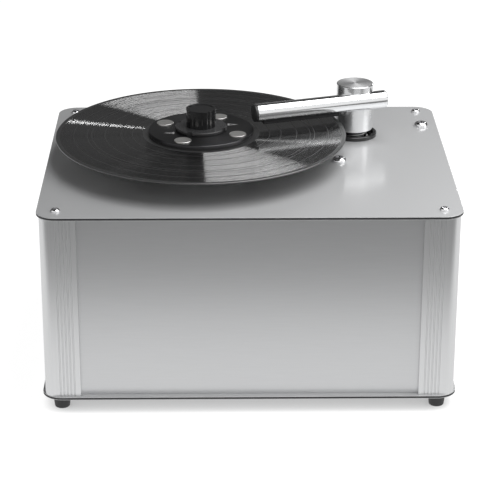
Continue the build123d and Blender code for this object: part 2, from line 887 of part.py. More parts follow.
# Flat belt round both pulleys
with BuildPart() as drive_belt:
    for thickness, mode in ((belt_thickness, Mode.ADD), (0.0, Mode.SUBTRACT)):
        with BuildSketch(Plane.XY.offset(belt_bottom)):
            with Locations((platter_x, platter_y)):
                Circle(driven_pulley_diameter / 2 + belt_gap + thickness)
            with Locations((motor_x, motor_y)):
                Circle(motor_pulley_diameter / 2 + belt_gap + thickness)
            make_hull()
        extrude(amount=belt_width, mode=mode)
drive_belt.part.label = "drive_belt"
export_step(drive_belt.part, "parts/drive_belt.step")

# Motor bracket: a folded sheet that hangs the gearbox from the deck
with BuildPart() as motor_bracket:
    with BuildSketch(Plane.XZ.offset(-motor_y - bracket_width / 2)):
        wall_x = motor_x - bracket_width / 2 - bracket_sheet
        with BuildLine():
            Polyline(
                (wall_x, bracket_bottom),
                (motor_x + bracket_width / 2, bracket_bottom),
                (motor_x + bracket_width / 2, bracket_top),
                (wall_x + bracket_sheet, bracket_top),
                (wall_x + bracket_sheet, deck_bottom),
                (wall_x - bracket_flange, deck_bottom),
                (wall_x - bracket_flange, deck_bottom - bracket_sheet),
                (wall_x, deck_bottom - bracket_sheet),
                close=True,
            )
        make_face()
    extrude(amount=bracket_width)
    with BuildSketch(Plane.XY.offset(bracket_bottom)):
        with Locations((motor_x, motor_y)):
            Circle(motor_shaft_diameter / 2 + bracket_shaft_gap)
    extrude(amount=bracket_sheet, mode=Mode.SUBTRACT)
    with BuildSketch(Plane.XY.offset(deck_bottom - bracket_sheet)):
        with Locations(*bracket_screw_points):
            Circle(fixing_hole_radius)
    extrude(amount=bracket_sheet, mode=Mode.SUBTRACT)
motor_bracket.part.label = "motor_bracket"
export_step(motor_bracket.part, "parts/motor_bracket.step")

with BuildPart() as gearbox:
    with BuildSketch(Plane.XY.offset(gearbox_bottom)):
        with Locations((motor_x, motor_y)):
            RectangleRounded(gearbox_width, gearbox_width, gearbox_corner)
    extrude(amount=gearbox_height)
    with BuildSketch(Plane.XY.offset(shaft_bottom - bearing_fit)):
        with Locations((motor_x, motor_y)):
            Circle(motor_shaft_diameter / 2 + bearing_fit)
    extrude(amount=gearbox_height, mode=Mode.SUBTRACT)
gearbox.part.label = "gearbox"
export_step(gearbox.part, "parts/gearbox.step")

with BuildPart() as drive_motor:
    with BuildSketch(Plane.XY.offset(gearbox_bottom - motor_length)):
        with Locations((motor_x, motor_y)):
            Circle(motor_diameter / 2)
    extrude(amount=motor_length)
    chamfer(drive_motor.faces().sort_by(Axis.Z)[0].edges(), length=motor_chamfer)
drive_motor.part.label = "drive_motor"
export_step(drive_motor.part, "parts/drive_motor.step")

# ------------------------------------------------------------------------------------ record clamp

seal_top = record_top + clamp_seal_thickness
clamp_top = seal_top + clamp_plate_thickness
hub_top = clamp_top + clamp_hub_height
knob_top = hub_top + clamp_knob_height
magnet_bottom = seal_top + magnet_floor

# Rubber seal that keeps liquid off the label
with BuildPart() as clamp_seal:
    with BuildSketch(Plane.XY.offset(record_top)):
        with Locations((platter_x, platter_y)):
            Circle(clamp_diameter / 2 - clamp_seal_inset)
            Circle(clamp_diameter / 2 - clamp_seal_width, mode=Mode.SUBTRACT)
    extrude(amount=clamp_seal_thickness)
clamp_seal.part.label = "clamp_seal"
export_step(clamp_seal.part, "parts/clamp_seal.step")

# Clamp plate with a pocket for each magnet
with BuildPart() as clamp_plate:
    with BuildSketch(Plane.XY.offset(seal_top)):
        with Locations((platter_x, platter_y)):
            Circle(clamp_diameter / 2)
            Circle(pin_hole_radius, mode=Mode.SUBTRACT)
    extrude(amount=clamp_plate_thickness)
    plate_rim = clamp_plate.faces().sort_by(Axis.Z)[-1].outer_wire().edges()
    fillet(plate_rim, radius=clamp_plate_round)
    with BuildSketch(Plane.XY.offset(magnet_bottom)):
        with Locations(*magnet_points):
            Circle(magnet_diameter / 2 + magnet_fit)
    extrude(amount=clamp_plate_thickness, mode=Mode.SUBTRACT)
clamp_plate.part.label = "clamp_plate"
export_step(clamp_plate.part, "parts/clamp_plate.step")

with BuildPart() as clamp_magnets:
    with BuildSketch(Plane.XY.offset(magnet_bottom)):
        with Locations(*magnet_points):
            Circle(magnet_diameter / 2)
    extrude(amount=magnet_thickness)
    chamfer(clamp_magnets.edges().group_by(Axis.Z)[-1], length=magnet_chamfer)
clamp_magnets.part.label = "clamp_magnets"
export_step(clamp_magnets.part, "parts/clamp_magnets.step")

# Clamp hub: a low step with notches round its rim
with BuildPart() as clamp_hub:
    with BuildSketch(Plane.XY.offset(clamp_top)):
        with Locations((platter_x, platter_y)):
            Circle(clamp_hub_diameter / 2)
            Circle(pin_hole_radius, mode=Mode.SUBTRACT)
    extrude(amount=clamp_hub_height)
    hub_rim = clamp_hub.faces().sort_by(Axis.Z)[-1].outer_wire().edges()
    chamfer(hub_rim, length=clamp_hub_chamfer)
    with BuildSketch(Plane.XY.offset(clamp_top)):
        with Locations((platter_x, platter_y)):
            with PolarLocations(clamp_hub_diameter / 2, 4, start_angle=magnet_first_angle):
                Circle(clamp_hub_notch)
    extrude(amount=clamp_hub_height, mode=Mode.SUBTRACT)
clamp_hub.part.label = "clamp_hub"
export_step(clamp_hub.part, "parts/clamp_hub.step")

# Clamp knob: scalloped for the fingers, dished on top
with BuildPart() as clamp_knob:
    with BuildSketch(Plane.XY.offset(hub_top)):
        with Locations((platter_x, platter_y)):
            Circle(clamp_knob_diameter / 2)
            scallop_circle = clamp_knob_diameter / 2 + knob_scallop_radius - knob_scallop_depth
            with PolarLocations(scallop_circle, clamp_knob_scallops):
                Circle(knob_scallop_radius, mode=Mode.SUBTRACT)
    extrude(amount=clamp_knob_height)
    with BuildSketch(Plane.XY.offset(knob_top - knob_dish_depth)):
        with Locations((platter_x, platter_y)):
            Circle(clamp_knob_diameter / 2 - knob_dish_rim)
    extrude(amount=knob_dish_depth, mode=Mode.SUBTRACT)
    with BuildSketch(Plane.XY.offset(hub_top)):
        with Locations((platter_x, platter_y)):
            Circle(pin_hole_radius)
    extrude(amount=pin_above_record, mode=Mode.SUBTRACT)
clamp_knob.part.label = "clamp_knob"
export_step(clamp_knob.part, "parts/clamp_knob.step")

# ------------------------------------------------------------------------------------- suction arm

arm_axis = Axis((arm_x, arm_y, 0), (0, 0, 1))
arm_section = Plane(origin=(arm_x, arm_y, 0), x_dir=(1, 0, 0), z_dir=(0, -1, 0))
tip_plane = tube_plane.offset(-arm_tip_reach)
tail_plane = tube_plane.offset(arm_tail_reach)
slot_middle = -arm_tip_reach + slot_from_tip + slot_length / 2

# Column: a turned post, bored for the stem and notched for the tube
with BuildPart() as arm_column:
    with BuildSketch(arm_section):
        outer = column_diameter / 2
        stem_seat = stem_diameter / 2 + insert_fit
        bore = column_bore / 2
        with BuildLine():
            Polyline(
                (stem_seat, column_base),
                (outer - column_foot_chamfer, column_base),
                (outer, column_base + column_foot_chamfer),
                (outer, column_head - column_head_chamfer),
                (outer - column_head_chamfer, column_head),
                (0, column_head),
                (0, deck_top + column_bore_top),
                (bore, deck_top + column_bore_top),
                (bore, column_base + stem_engagement),
                (stem_seat, column_base + stem_engagement),
                close=True,
            )
        make_face()
    revolve(axis=arm_axis)
    with BuildSketch(tube_plane.offset(-column_diameter)):
        Circle(tube_radius + insert_fit)
    extrude(amount=2 * column_diameter, mode=Mode.SUBTRACT)
arm_column.part.label = "arm_column"
export_step(arm_column.part, "parts/arm_column.step")

# Arm tube: polished, with a flat and a suction slot beneath and a port into the column
tube_length = arm_tip_reach + arm_tail_reach - arm_end_cap_length
flat_start = -arm_tip_reach + slot_from_tip - pad_overlap
flat_length = slot_length + 2 * pad_overlap
with BuildPart() as arm_tube:
    with BuildSketch(tip_plane):
        Circle(tube_radius)
        Circle(tube_radius - arm_tube_wall, mode=Mode.SUBTRACT)
    extrude(amount=tube_length)
    tip_rim = arm_tube.faces().sort_by(tube_axis)[0].outer_wire().edges()
    chamfer(tip_rim, length=arm_tube_chamfer)
    with BuildSketch(arm_plane.offset(-tube_radius)):
        with Locations((flat_start + flat_length / 2, 0)):
            Rectangle(flat_length, 2 * tube_radius)
    extrude(amount=tube_radius - flat_depth, mode=Mode.SUBTRACT)
    with BuildSketch(arm_plane.offset(-tube_radius)):
        with Locations((slot_middle, 0)):
            SlotOverall(slot_length, slot_width)
    extrude(amount=tube_radius, mode=Mode.SUBTRACT)
    with BuildSketch(port_plane):
        Circle(arm_port_diameter / 2)
    extrude(amount=tube_radius, mode=Mode.SUBTRACT)
arm_tube.part.label = "arm_tube"
export_step(arm_tube.part, "parts/arm_tube.step")

# Black plug in the tip
with BuildPart() as arm_tip_plug:
    with BuildSketch(tip_plane):
        Circle(tube_radius - tip_plug_step)
    extrude(amount=-tip_plug_length)
    fillet(arm_tip_plug.faces().sort_by(tube_axis)[0].edges(), radius=tip_plug_round)
    with BuildSketch(tip_plane):
        Circle(tube_radius - arm_tube_wall - insert_fit)
        with Locations((0, -tube_radius)):
            flat_rise = tube_radius - flat_depth + arm_tube_wall
            Rectangle(2 * tube_radius, 2 * flat_rise, mode=Mode.SUBTRACT)
    extrude(amount=insert_depth)
arm_tip_plug.part.label = "arm_tip_plug"
export_step(arm_tip_plug.part, "parts/arm_tip_plug.step")

# Turned cap in the tail
with BuildPart() as arm_end_cap:
    with BuildSketch(tail_plane.offset(-arm_end_cap_length)):
        Circle(tube_radius)
    extrude(amount=arm_end_cap_length)
    chamfer(arm_end_cap.faces().sort_by(tube_axis)[-1].edges(), length=arm_end_cap_chamfer)
    with BuildSketch(tail_plane.offset(-arm_end_cap_length)):
        Circle(tube_radius - arm_tube_wall - insert_fit)
    extrude(amount=-insert_depth / 2)
arm_end_cap.part.label = "arm_end_cap"
export_step(arm_end_cap.part, "parts/arm_end_cap.step")

# Two velvet strips, one each side of the slot
with BuildPart() as velvet_pads:
    with BuildSketch(arm_plane.offset(flat_z - tube_axis_z - pad_thickness)):
        pad_middle = slot_width / 2 + pad_gap + pad_width / 2
        with Locations((slot_middle, pad_middle), (slot_middle, -pad_middle)):
            RectangleRounded(flat_length - 2 * pad_end_gap, pad_width, pad_corner)
    extrude(amount=pad_thickness)
velvet_pads.part.label = "velvet_pads"
export_step(velvet_pads.part, "parts/velvet_pads.step")

stem_top = column_base + stem_engagement
stem_bottom = stem_top - stem_length
guide_bottom = deck_top - guide_length
pocket_bottom = deck_top - spring_pocket_depth

# Stem: the hollow shaft that carries the column and drops the liquid into the canister
with BuildPart() as arm_stem:
    with BuildSketch(Plane.XY.offset(stem_bottom)):
        with Locations((arm_x, arm_y)):
            Circle(stem_diameter / 2)
            Circle(stem_bore / 2, mode=Mode.SUBTRACT)
    extrude(amount=stem_length)
arm_stem.part.label = "arm_stem"
export_step(arm_stem.part, "parts/arm_stem.step")

# Clip under the guide: it stops the spring from lifting the stem out
with BuildPart() as stem_clip:
    with BuildSketch(Plane.XY.offset(guide_bottom - stem_clip_thickness)):
        with Locations((arm_x, arm_y)):
            Circle(stem_clip_diameter / 2)
            Circle(stem_diameter / 2 + insert_fit, mode=Mode.SUBTRACT)
    extrude(amount=stem_clip_thickness)
stem_clip.part.label = "stem_clip"
export_step(stem_clip.part, "parts/stem_clip.step")

# Guide housing: passes up through the deck, with a pocket for the lift spring
with BuildPart() as guide_housing:
    with BuildSketch(arm_section):
        outer = guide_diameter / 2
        flange = guide_flange_diameter / 2
        seat = bush_diameter / 2
        pocket = spring_pocket_diameter / 2
        flange_bottom = deck_bottom - guide_flange_thickness
        with BuildLine():
            Polyline(
                (seat, guide_bottom),
                (outer, guide_bottom),
                (outer, flange_bottom),
                (flange, flange_bottom),
                (flange, deck_bottom),
                (outer, deck_bottom),
                (outer, deck_top),
                (pocket, deck_top),
                (pocket, pocket_bottom),
                (seat, pocket_bottom),
                close=True,
            )
        make_face()
    revolve(axis=arm_axis)
    with BuildSketch(Plane.XY.offset(flange_bottom)):
        with Locations(*guide_screw_points):
            Circle(fixing_hole_radius)
    extrude(amount=guide_flange_thickness, mode=Mode.SUBTRACT)
guide_housing.part.label = "guide_housing"
export_step(guide_housing.part, "parts/guide_housing.step")

with BuildPart() as guide_bushes:
    for bush_bottom in (guide_bottom, pocket_bottom - bush_length):
        with BuildSketch(Plane.XY.offset(bush_bottom)):
            with Locations((arm_x, arm_y)):
                Circle(bush_diameter / 2)
                Circle(stem_diameter / 2 + stem_fit, mode=Mode.SUBTRACT)
        extrude(amount=bush_length)
guide_bushes.part.label = "guide_bushes"
export_step(guide_bushes.part, "parts/guide_bushes.step")

# Thrust washer between the spring and the turning column
washer_bottom = column_base - washer_thickness
with BuildPart() as thrust_washer:
    with BuildSketch(Plane.XY.offset(washer_bottom)):
        with Locations((arm_x, arm_y)):
            Circle(washer_diameter / 2)
            Circle(stem_diameter / 2 + stem_fit, mode=Mode.SUBTRACT)
    extrude(amount=washer_thickness)
thrust_washer.part.label = "thrust_washer"
export_step(thrust_washer.part, "parts/thrust_washer.step")

# Lift spring
spring_height = washer_bottom - pocket_bottom - spring_wire
spring_base = Plane(origin=(arm_x, arm_y, pocket_bottom + spring_wire / 2))
with BuildPart() as lift_spring:
    with BuildLine(spring_base) as spring_path:
        Helix(
            pitch=spring_height / spring_turns,
            height=spring_height,
            radius=spring_mean_diameter / 2,
        )
    with BuildSketch(Plane(origin=spring_path.line @ 0, z_dir=spring_path.line % 0)):
        Circle(spring_wire / 2)
    sweep(path=spring_path.line, is_frenet=True)
lift_spring.part.label = "lift_spring"
export_step(lift_spring.part, "parts/lift_spring.step")

# Trim ring on the deck round the column's foot
with BuildPart() as arm_ring:
    with BuildSketch(Plane.XY.offset(deck_top)):
        with Locations((arm_x, arm_y)):
            Circle(arm_ring_diameter / 2)
            Circle(arm_ring_bore / 2, mode=Mode.SUBTRACT)
    extrude(amount=arm_ring_height)
    chamfer(arm_ring.faces().sort_by(Axis.Z)[-1].edges(), length=arm_ring_chamfer)
arm_ring.part.label = "arm_ring"
export_step(arm_ring.part, "parts/arm_ring.step")

# ---------------------------------------------------------------------------------- waste canister

lug_limit_x = panel_inner_x - lug_panel_gap


def canister_outline():
    """The lid's and the flange's outline: the canister's rim drawn out to three lugs."""
    with BuildSketch() as outline:
        with Locations((canister_x, canister_y)):
            Circle(canister_radius + canister_wall)
        with Locations(*canister_bolt_points):
            Circle(canister_lug_radius)
        make_hull()
        with Locations((lug_limit_x + canister_radius, canister_y)):
            Rectangle(2 * canister_radius, 4 * canister_radius, mode=Mode.SUBTRACT)
        with Locations(*canister_bolt_points):
            Circle(canister_hole_radius, mode=Mode.SUBTRACT)
    return outline.sketch


canister_rim = canister_outline()

# Lid with a spacer post under each bolt and a hole for the guide
with BuildPart() as canister_lid:
    with BuildSketch(Plane.XY.offset(lid_bottom)):
        add(canister_rim)
        with Locations((arm_x, arm_y)):
            Circle(guide_diameter / 2 + plate_hole_gap, mode=Mode.SUBTRACT)
    extrude(amount=canister_lid_thickness)
    with BuildSketch(Plane.XY.offset(lid_top)):
        with Locations(*canister_bolt_points):
            Circle(canister_spacer_diameter / 2)
            Circle(canister_hole_radius, mode=Mode.SUBTRACT)
    extrude(amount=canister_lid_drop)
canister_lid.part.label = "canister_lid"
export_step(canister_lid.part, "parts/canister_lid.step")

# Canister: a deep cup with a suction spigot towards the fan and a drain spigot in its floor
with BuildPart() as canister:
    with BuildSketch(Plane.XY.offset(canister_flange_bottom)):
        add(canister_rim)
    extrude(amount=canister_flange_thickness)
    with BuildSketch(Plane.XY.offset(canister_bottom)):
        with Locations((canister_x, canister_y)):
            Circle(canister_radius)
    extrude(amount=canister_height)
    with BuildSketch(Plane.YZ.offset(canister_x)):
        with Locations((canister_y, hose_axis_z)):
            Circle(suction_spigot_diameter / 2)
    extrude(amount=-canister_radius - suction_spigot_length)
    with BuildSketch(Plane.XY.offset(canister_bottom - drain_spigot_length)):
        with Locations((canister_x, drain_y)):
            Circle(drain_spigot_diameter / 2)
    extrude(amount=drain_spigot_length)
    with BuildSketch(Plane.XY.offset(canister_bottom + canister_wall)):
        with Locations((canister_x, canister_y)):
            Circle(canister_radius - canister_wall)
    extrude(amount=canister_height - canister_wall, mode=Mode.SUBTRACT)
    with BuildSketch(Plane.YZ.offset(canister_x)):
        with Locations((canister_y, hose_axis_z)):
            Circle(suction_spigot_diameter / 2 - suction_hose_wall)
    extrude(amount=-canister_radius - suction_spigot_length, mode=Mode.SUBTRACT)
    with BuildSketch(Plane.XY.offset(canister_bottom - drain_spigot_length)):
        with Locations((canister_x, drain_y)):
            Circle(drain_spigot_bore / 2)
    extrude(amount=drain_spigot_length + canister_wall, mode=Mode.SUBTRACT)
canister.part.label = "canister"
export_step(canister.part, "parts/canister.step")

# -------------------------------------------------------------------------------------------- fan

# Fan housing: a drum on the bottom plate, with the inlet spigot on top and the outlet at the rear
with BuildPart() as fan_housing:
    with BuildSketch(Plane.XY.offset(bottom_top)):
        with Locations((fan_x, fan_y)):
            Circle(fan_diameter / 2)
    extrude(amount=fan_height)
    with BuildSketch(Plane.XY.offset(fan_top)):
        with Locations((fan_x, fan_y)):
            Circle(suction_spigot_diameter / 2)
    extrude(amount=suction_spigot_length)
    with BuildSketch(Plane.XY.offset(bottom_top + fan_wall)):
        with Locations((fan_x, fan_y)):
            Circle(fan_diameter / 2 - fan_wall)
    extrude(amount=fan_height - 2 * fan_wall, mode=Mode.SUBTRACT)
    with BuildSketch(Plane.XY.offset(fan_top - fan_wall)):
        with Locations((fan_x, fan_y)):
            Circle(suction_spigot_diameter / 2 - suction_hose_wall)
    extrude(amount=fan_wall + suction_spigot_length, mode=Mode.SUBTRACT)
    with Locations((fan_x, fan_y + fan_diameter / 2, fan_top - fan_wall - impeller_height)):
        Box(fan_outlet_width, fan_outlet_width, impeller_height, mode=Mode.SUBTRACT)
fan_housing.part.label = "fan_housing"
export_step(fan_housing.part, "parts/fan_housing.step")

fan_motor_bottom = bottom_top + fan_wall
fan_motor_top = fan_motor_bottom + fan_motor_height
impeller_top = fan_top - fan_wall - impeller_top_gap
impeller_bottom = impeller_top - impeller_height
fan_shaft_bottom = fan_motor_top - fan_shaft_in_motor

with BuildPart() as fan_motor:
    with BuildSketch(Plane.XY.offset(fan_motor_bottom)):
        with Locations((fan_x, fan_y)):
            Circle(fan_motor_diameter / 2)
    extrude(amount=fan_motor_height)
    fillet(fan_motor.faces().sort_by(Axis.Z)[-1].edges(), radius=fan_motor_round)
    with BuildSketch(Plane.XY.offset(fan_shaft_bottom - bearing_fit)):
        with Locations((fan_x, fan_y)):
            Circle(fan_shaft_diameter / 2 + bearing_fit)
    extrude(amount=fan_motor_height, mode=Mode.SUBTRACT)
fan_motor.part.label = "fan_motor"
export_step(fan_motor.part, "parts/fan_motor.step")

# Impeller: a disc with radial blades on the motor's shaft
blade_length = (impeller_diameter - impeller_hub) / 2
with BuildPart() as fan_impeller:
    with BuildSketch(Plane.XY.offset(fan_shaft_bottom)):
        with Locations((fan_x, fan_y)):
            Circle(fan_shaft_diameter / 2)
    extrude(amount=impeller_bottom - fan_shaft_bottom)
    with BuildSketch(Plane.XY.offset(impeller_bottom)):
        with Locations((fan_x, fan_y)):
            Circle(impeller_diameter / 2)
    extrude(amount=impeller_sheet)
    with BuildSketch(Plane.XY.offset(impeller_bottom)):
        with Locations((fan_x, fan_y)):
            Circle(impeller_hub / 2)
            with PolarLocations((impeller_hub + blade_length) / 2, impeller_blades):
                Rectangle(blade_length + impeller_blade_root, impeller_sheet)
    extrude(amount=impeller_height)
fan_impeller.part.label = "fan_impeller"
export_step(fan_impeller.part, "parts/fan_impeller.step")

# ------------------------------------------------------------------------------------------ hoses

# Suction hose: up from the fan's inlet, over one bend and along to the canister
hose_start_z = fan_top
hose_end_x = canister_x - canister_radius
with BuildPart() as suction_hose:
    with BuildLine(Plane.XZ.offset(-fan_y)) as hose_path:
        FilletPolyline(
            (fan_x, hose_start_z),
            (fan_x, hose_axis_z),
            (hose_end_x, hose_axis_z),
            radius=suction_hose_bend,
        )
    with BuildSketch(Plane.XY.offset(hose_start_z)):
        with Locations((fan_x, fan_y)):
            Circle(suction_hose_diameter / 2)
            Circle(suction_hose_diameter / 2 - suction_hose_wall, mode=Mode.SUBTRACT)
    sweep(path=hose_path.line)
suction_hose.part.label = "suction_hose"
export_step(suction_hose.part, "parts/suction_hose.step")

# A clip round each end of the suction hose
with BuildPart() as hose_clips:
    for clip_plane in (
        Plane(origin=(fan_x, fan_y, hose_start_z + hose_clip_margin)),
        Plane(origin=(hose_end_x - hose_clip_margin, fan_y, hose_axis_z), z_dir=(-1, 0, 0)),
    ):
        with BuildSketch(clip_plane):
            Circle(suction_hose_diameter / 2 + hose_fit + hose_clip_thickness)
            Circle(suction_hose_diameter / 2 + hose_fit, mode=Mode.SUBTRACT)
        extrude(amount=hose_clip_width)
hose_clips.part.label = "hose_clips"
export_step(hose_clips.part, "parts/hose_clips.step")

# Drain hose: down from the canister's floor and back to the outlet in the rear panel
drain_hose_end_y = panel_inner_y - drain_flange_thickness
with BuildPart() as drain_hose:
    with BuildLine(Plane.YZ.offset(canister_x)) as drain_path:
        FilletPolyline(
            (drain_y, canister_bottom),
            (drain_y, drain_axis_z),
            (drain_hose_end_y, drain_axis_z),
            radius=drain_hose_bend,
        )
    with BuildSketch(Plane.XY.offset(canister_bottom)):
        with Locations((canister_x, drain_y)):
            Circle(drain_hose_diameter / 2)
            Circle(drain_hose_diameter / 2 - drain_hose_wall, mode=Mode.SUBTRACT)
    sweep(path=drain_path.line)
drain_hose.part.label = "drain_hose"
export_step(drain_hose.part, "parts/drain_hose.step")

# Drain outlet: a flanged spigot through the rear panel, open to the hose
drain_tip_y = panel_face_y + drain_tip_length
drain_outlet_start_y = panel_inner_y - drain_flange_thickness - drain_spigot_length
drain_axis = Axis((canister_x, 0, drain_axis_z), (0, 1, 0))
with BuildPart() as drain_outlet:
    with BuildSketch(Plane.XY.offset(drain_axis_z)):
        inner = drain_spigot_bore / 2
        spigot = drain_spigot_diameter / 2
        flange = drain_flange_diameter / 2
        with BuildLine():
            Polyline(
                (canister_x + inner, drain_outlet_start_y),
                (canister_x + spigot, drain_outlet_start_y),
                (canister_x + spigot, panel_inner_y - drain_flange_thickness),
                (canister_x + flange, panel_inner_y - drain_flange_thickness),
                (canister_x + flange, panel_inner_y),
                (canister_x + spigot, panel_inner_y),
                (canister_x + spigot, drain_tip_y),
                (canister_x + inner, drain_tip_y),
                close=True,
            )
        make_face()
    revolve(axis=drain_axis)
drain_outlet.part.label = "drain_outlet"
export_step(drain_outlet.part, "parts/drain_outlet.step")

# Drain cap: pushed over the spigot's tip
drain_cap_start_y = panel_face_y + drain_cap_gap
with BuildPart() as drain_cap:
    with BuildSketch(Plane.XY.offset(drain_axis_z)):
        inner = drain_spigot_diameter / 2 + drain_cap_fit
        outer = drain_cap_diameter / 2
        cap_end_y = drain_cap_start_y + drain_cap_length
        with BuildLine():
            Polyline(
                (canister_x, drain_tip_y + drain_cap_gap),
                (canister_x + inner, drain_tip_y + drain_cap_gap),
                (canister_x + inner, drain_cap_start_y),
                (canister_x + outer, drain_cap_start_y),
                (canister_x + outer, cap_end_y - drain_cap_chamfer),
                (canister_x + outer - drain_cap_chamfer, cap_end_y),
                (canister_x, cap_end_y),
                close=True,
            )
        make_face()
    revolve(axis=drain_axis)
drain_cap.part.label = "drain_cap"
export_step(drain_cap.part, "parts/drain_cap.step")

# -------------------------------------------------------------------- mains inlet, switches, board

# Mains inlet: a three-pin appliance inlet with its socket open to the rear
with BuildPart() as mains_inlet:
    with BuildSketch(inlet_plane):
        RectangleRounded(inlet_flange_width, inlet_flange_height, inlet_corner)
    extrude(amount=inlet_flange_thickness)
    with BuildSketch(inlet_plane):
        Rectangle(inlet_body_width, inlet_body_height)
    extrude(amount=-inlet_body_depth)
    with BuildSketch(inlet_plane.offset(inlet_flange_thickness)) as socket:
        Rectangle(inlet_socket_width, inlet_socket_height)
        chamfer(socket.vertices().group_by(Axis.Y)[-1], length=inlet_corner)
    extrude(amount=-inlet_socket_depth, mode=Mode.SUBTRACT)
    with BuildSketch(inlet_plane.offset(inlet_flange_thickness - inlet_socket_depth)):
        with Locations(
            (-inlet_pin_pitch, -inlet_pin_stagger),
            (0, inlet_pin_stagger),
            (inlet_pin_pitch, -inlet_pin_stagger),
        ):
            Rectangle(inlet_pin_width, inlet_pin_height)
    extrude(amount=inlet_pin_length)
mains_inlet.part.label = "mains_inlet"
export_step(mains_inlet.part, "parts/mains_inlet.step")

well_length = switch_body_length - 2 * switch_well_wall
well_width = switch_body_width - 2 * switch_well_wall
rocker_radius = well_length / 2 - rocker_end_gap
rocker_width = well_width - 2 * rocker_side_gap
rocker_pin_length = well_width + switch_well_wall

# One frame for each switch: a bezel, a well for the rocker and blades behind
with BuildPart() as switch_frames:
    for switch_plane in (power_switch_plane, platter_switch_plane, suction_switch_plane):
        with BuildSketch(switch_plane):
            RectangleRounded(switch_flange_length, switch_flange_width, switch_flange_corner)
        extrude(amount=switch_flange_thickness)
        with BuildSketch(switch_plane):
            Rectangle(switch_body_length, switch_body_width)
        extrude(amount=-switch_body_depth)
        with BuildSketch(switch_plane.offset(switch_flange_thickness)):
            Rectangle(well_length, well_width)
        extrude(amount=-switch_flange_thickness - switch_well_depth, mode=Mode.SUBTRACT)
        with BuildSketch(Plane(switch_plane.origin, switch_plane.x_dir, switch_plane.y_dir)):
            Circle(rocker_pin_diameter / 2 + rocker_pin_fit)
        extrude(amount=rocker_pin_length / 2 + rocker_pin_fit, both=True, mode=Mode.SUBTRACT)
        with BuildSketch(switch_plane.offset(-switch_body_depth)):
            with GridLocations(switch_blade_pitch, 1, 3, 1):
                Rectangle(switch_blade_thickness, switch_blade_width)
        extrude(amount=-switch_blade_length)
switch_frames.part.label = "switch_frames"
export_step(switch_frames.part, "parts/switch_frames.step")


# Rockers: each turns on its two pins; an on-off rocker rests tilted, the two-way one level
for switch_plane, tilt, rocker_name in (
    (power_switch_plane, rocker_tilt, "power_rocker"),
    (suction_switch_plane, rocker_tilt, "suction_rocker"),
    (platter_switch_plane, 0.0, "platter_rocker"),
):
    pin_plane = Plane(switch_plane.origin, switch_plane.x_dir, switch_plane.y_dir)
    tilted_x = switch_plane.x_dir.rotate(Axis((0, 0, 0), switch_plane.y_dir), tilt)
    with BuildPart() as rocker:
        with BuildSketch(Plane(pin_plane.origin, x_dir=tilted_x, z_dir=pin_plane.z_dir)):
            Circle(rocker_radius)
            shoulder_x = math.sqrt(rocker_radius**2 - rocker_shoulder**2)
            with BuildLine():
                Polyline(
                    (-shoulder_x, -rocker_shoulder),
                    (0, -rocker_middle),
                    (shoulder_x, -rocker_shoulder),
                    (shoulder_x, -rocker_radius),
                    (-shoulder_x, -rocker_radius),
                    close=True,
                )
            make_face(mode=Mode.SUBTRACT)
            with Locations((0, rocker_depth + rocker_radius)):
                Rectangle(2 * rocker_radius, 2 * rocker_radius, mode=Mode.SUBTRACT)
        extrude(amount=rocker_width / 2, both=True)
        with BuildSketch(pin_plane):
            Circle(rocker_pin_diameter / 2)
        extrude(amount=rocker_pin_length / 2, both=True)
    rocker.part.label = rocker_name
    export_step(rocker.part, f"parts/{rocker_name}.step")

# Control board with its transformer on four posts
board_x = right_edge - board_from_right_edge
board_y = front_edge + board_from_front_edge
with BuildPart() as control_board:
    with BuildSketch(Plane.XY.offset(bottom_top)):
        with Locations((board_x, board_y)):
            post_pitch_x = board_width - 2 * board_post_inset
            post_pitch_y = board_depth - 2 * board_post_inset
            with GridLocations(post_pitch_x, post_pitch_y, 2, 2):
                Circle(board_post_diameter / 2)
    extrude(amount=board_standoff)
    with BuildSketch(Plane.XY.offset(bottom_top + board_standoff)):
        with Locations((board_x, board_y)):
            Rectangle(board_width, board_depth)
    extrude(amount=board_thickness)
    with BuildSketch(Plane.XY.offset(bottom_top + board_standoff + board_thickness)):
        with Locations((board_x - transformer_from_middle, board_y)):
            Rectangle(transformer_size, transformer_size)
    extrude(amount=transformer_height)
    with BuildSketch(Plane.XY.offset(bottom_top + board_standoff + board_thickness)):
        with Locations((board_x + capacitor_from_middle, board_y)):
            with GridLocations(1, capacitor_pitch, 1, 2):
                Circle(capacitor_diameter / 2)
    extrude(amount=capacitor_height)
control_board.part.label = "control_board"
export_step(control_board.part, "parts/control_board.step")
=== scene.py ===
import math
import bpy
from mathutils import Matrix, Vector


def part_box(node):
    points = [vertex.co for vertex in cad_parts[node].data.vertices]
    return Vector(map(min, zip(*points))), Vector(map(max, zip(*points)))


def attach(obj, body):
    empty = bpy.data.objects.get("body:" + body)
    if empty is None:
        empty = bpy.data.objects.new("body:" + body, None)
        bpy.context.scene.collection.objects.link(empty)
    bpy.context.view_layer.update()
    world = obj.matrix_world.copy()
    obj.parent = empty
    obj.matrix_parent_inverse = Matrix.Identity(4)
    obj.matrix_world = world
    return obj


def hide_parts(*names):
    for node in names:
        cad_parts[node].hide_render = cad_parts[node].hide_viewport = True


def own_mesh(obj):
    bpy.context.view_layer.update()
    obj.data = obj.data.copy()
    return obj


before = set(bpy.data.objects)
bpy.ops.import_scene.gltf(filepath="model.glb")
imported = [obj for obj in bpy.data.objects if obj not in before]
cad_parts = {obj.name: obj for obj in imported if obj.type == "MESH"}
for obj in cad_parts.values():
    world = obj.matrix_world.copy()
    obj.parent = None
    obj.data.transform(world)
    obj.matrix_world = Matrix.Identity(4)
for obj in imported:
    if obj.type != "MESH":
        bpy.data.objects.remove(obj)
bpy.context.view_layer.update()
bpy.ops.object.select_all(action="DESELECT")

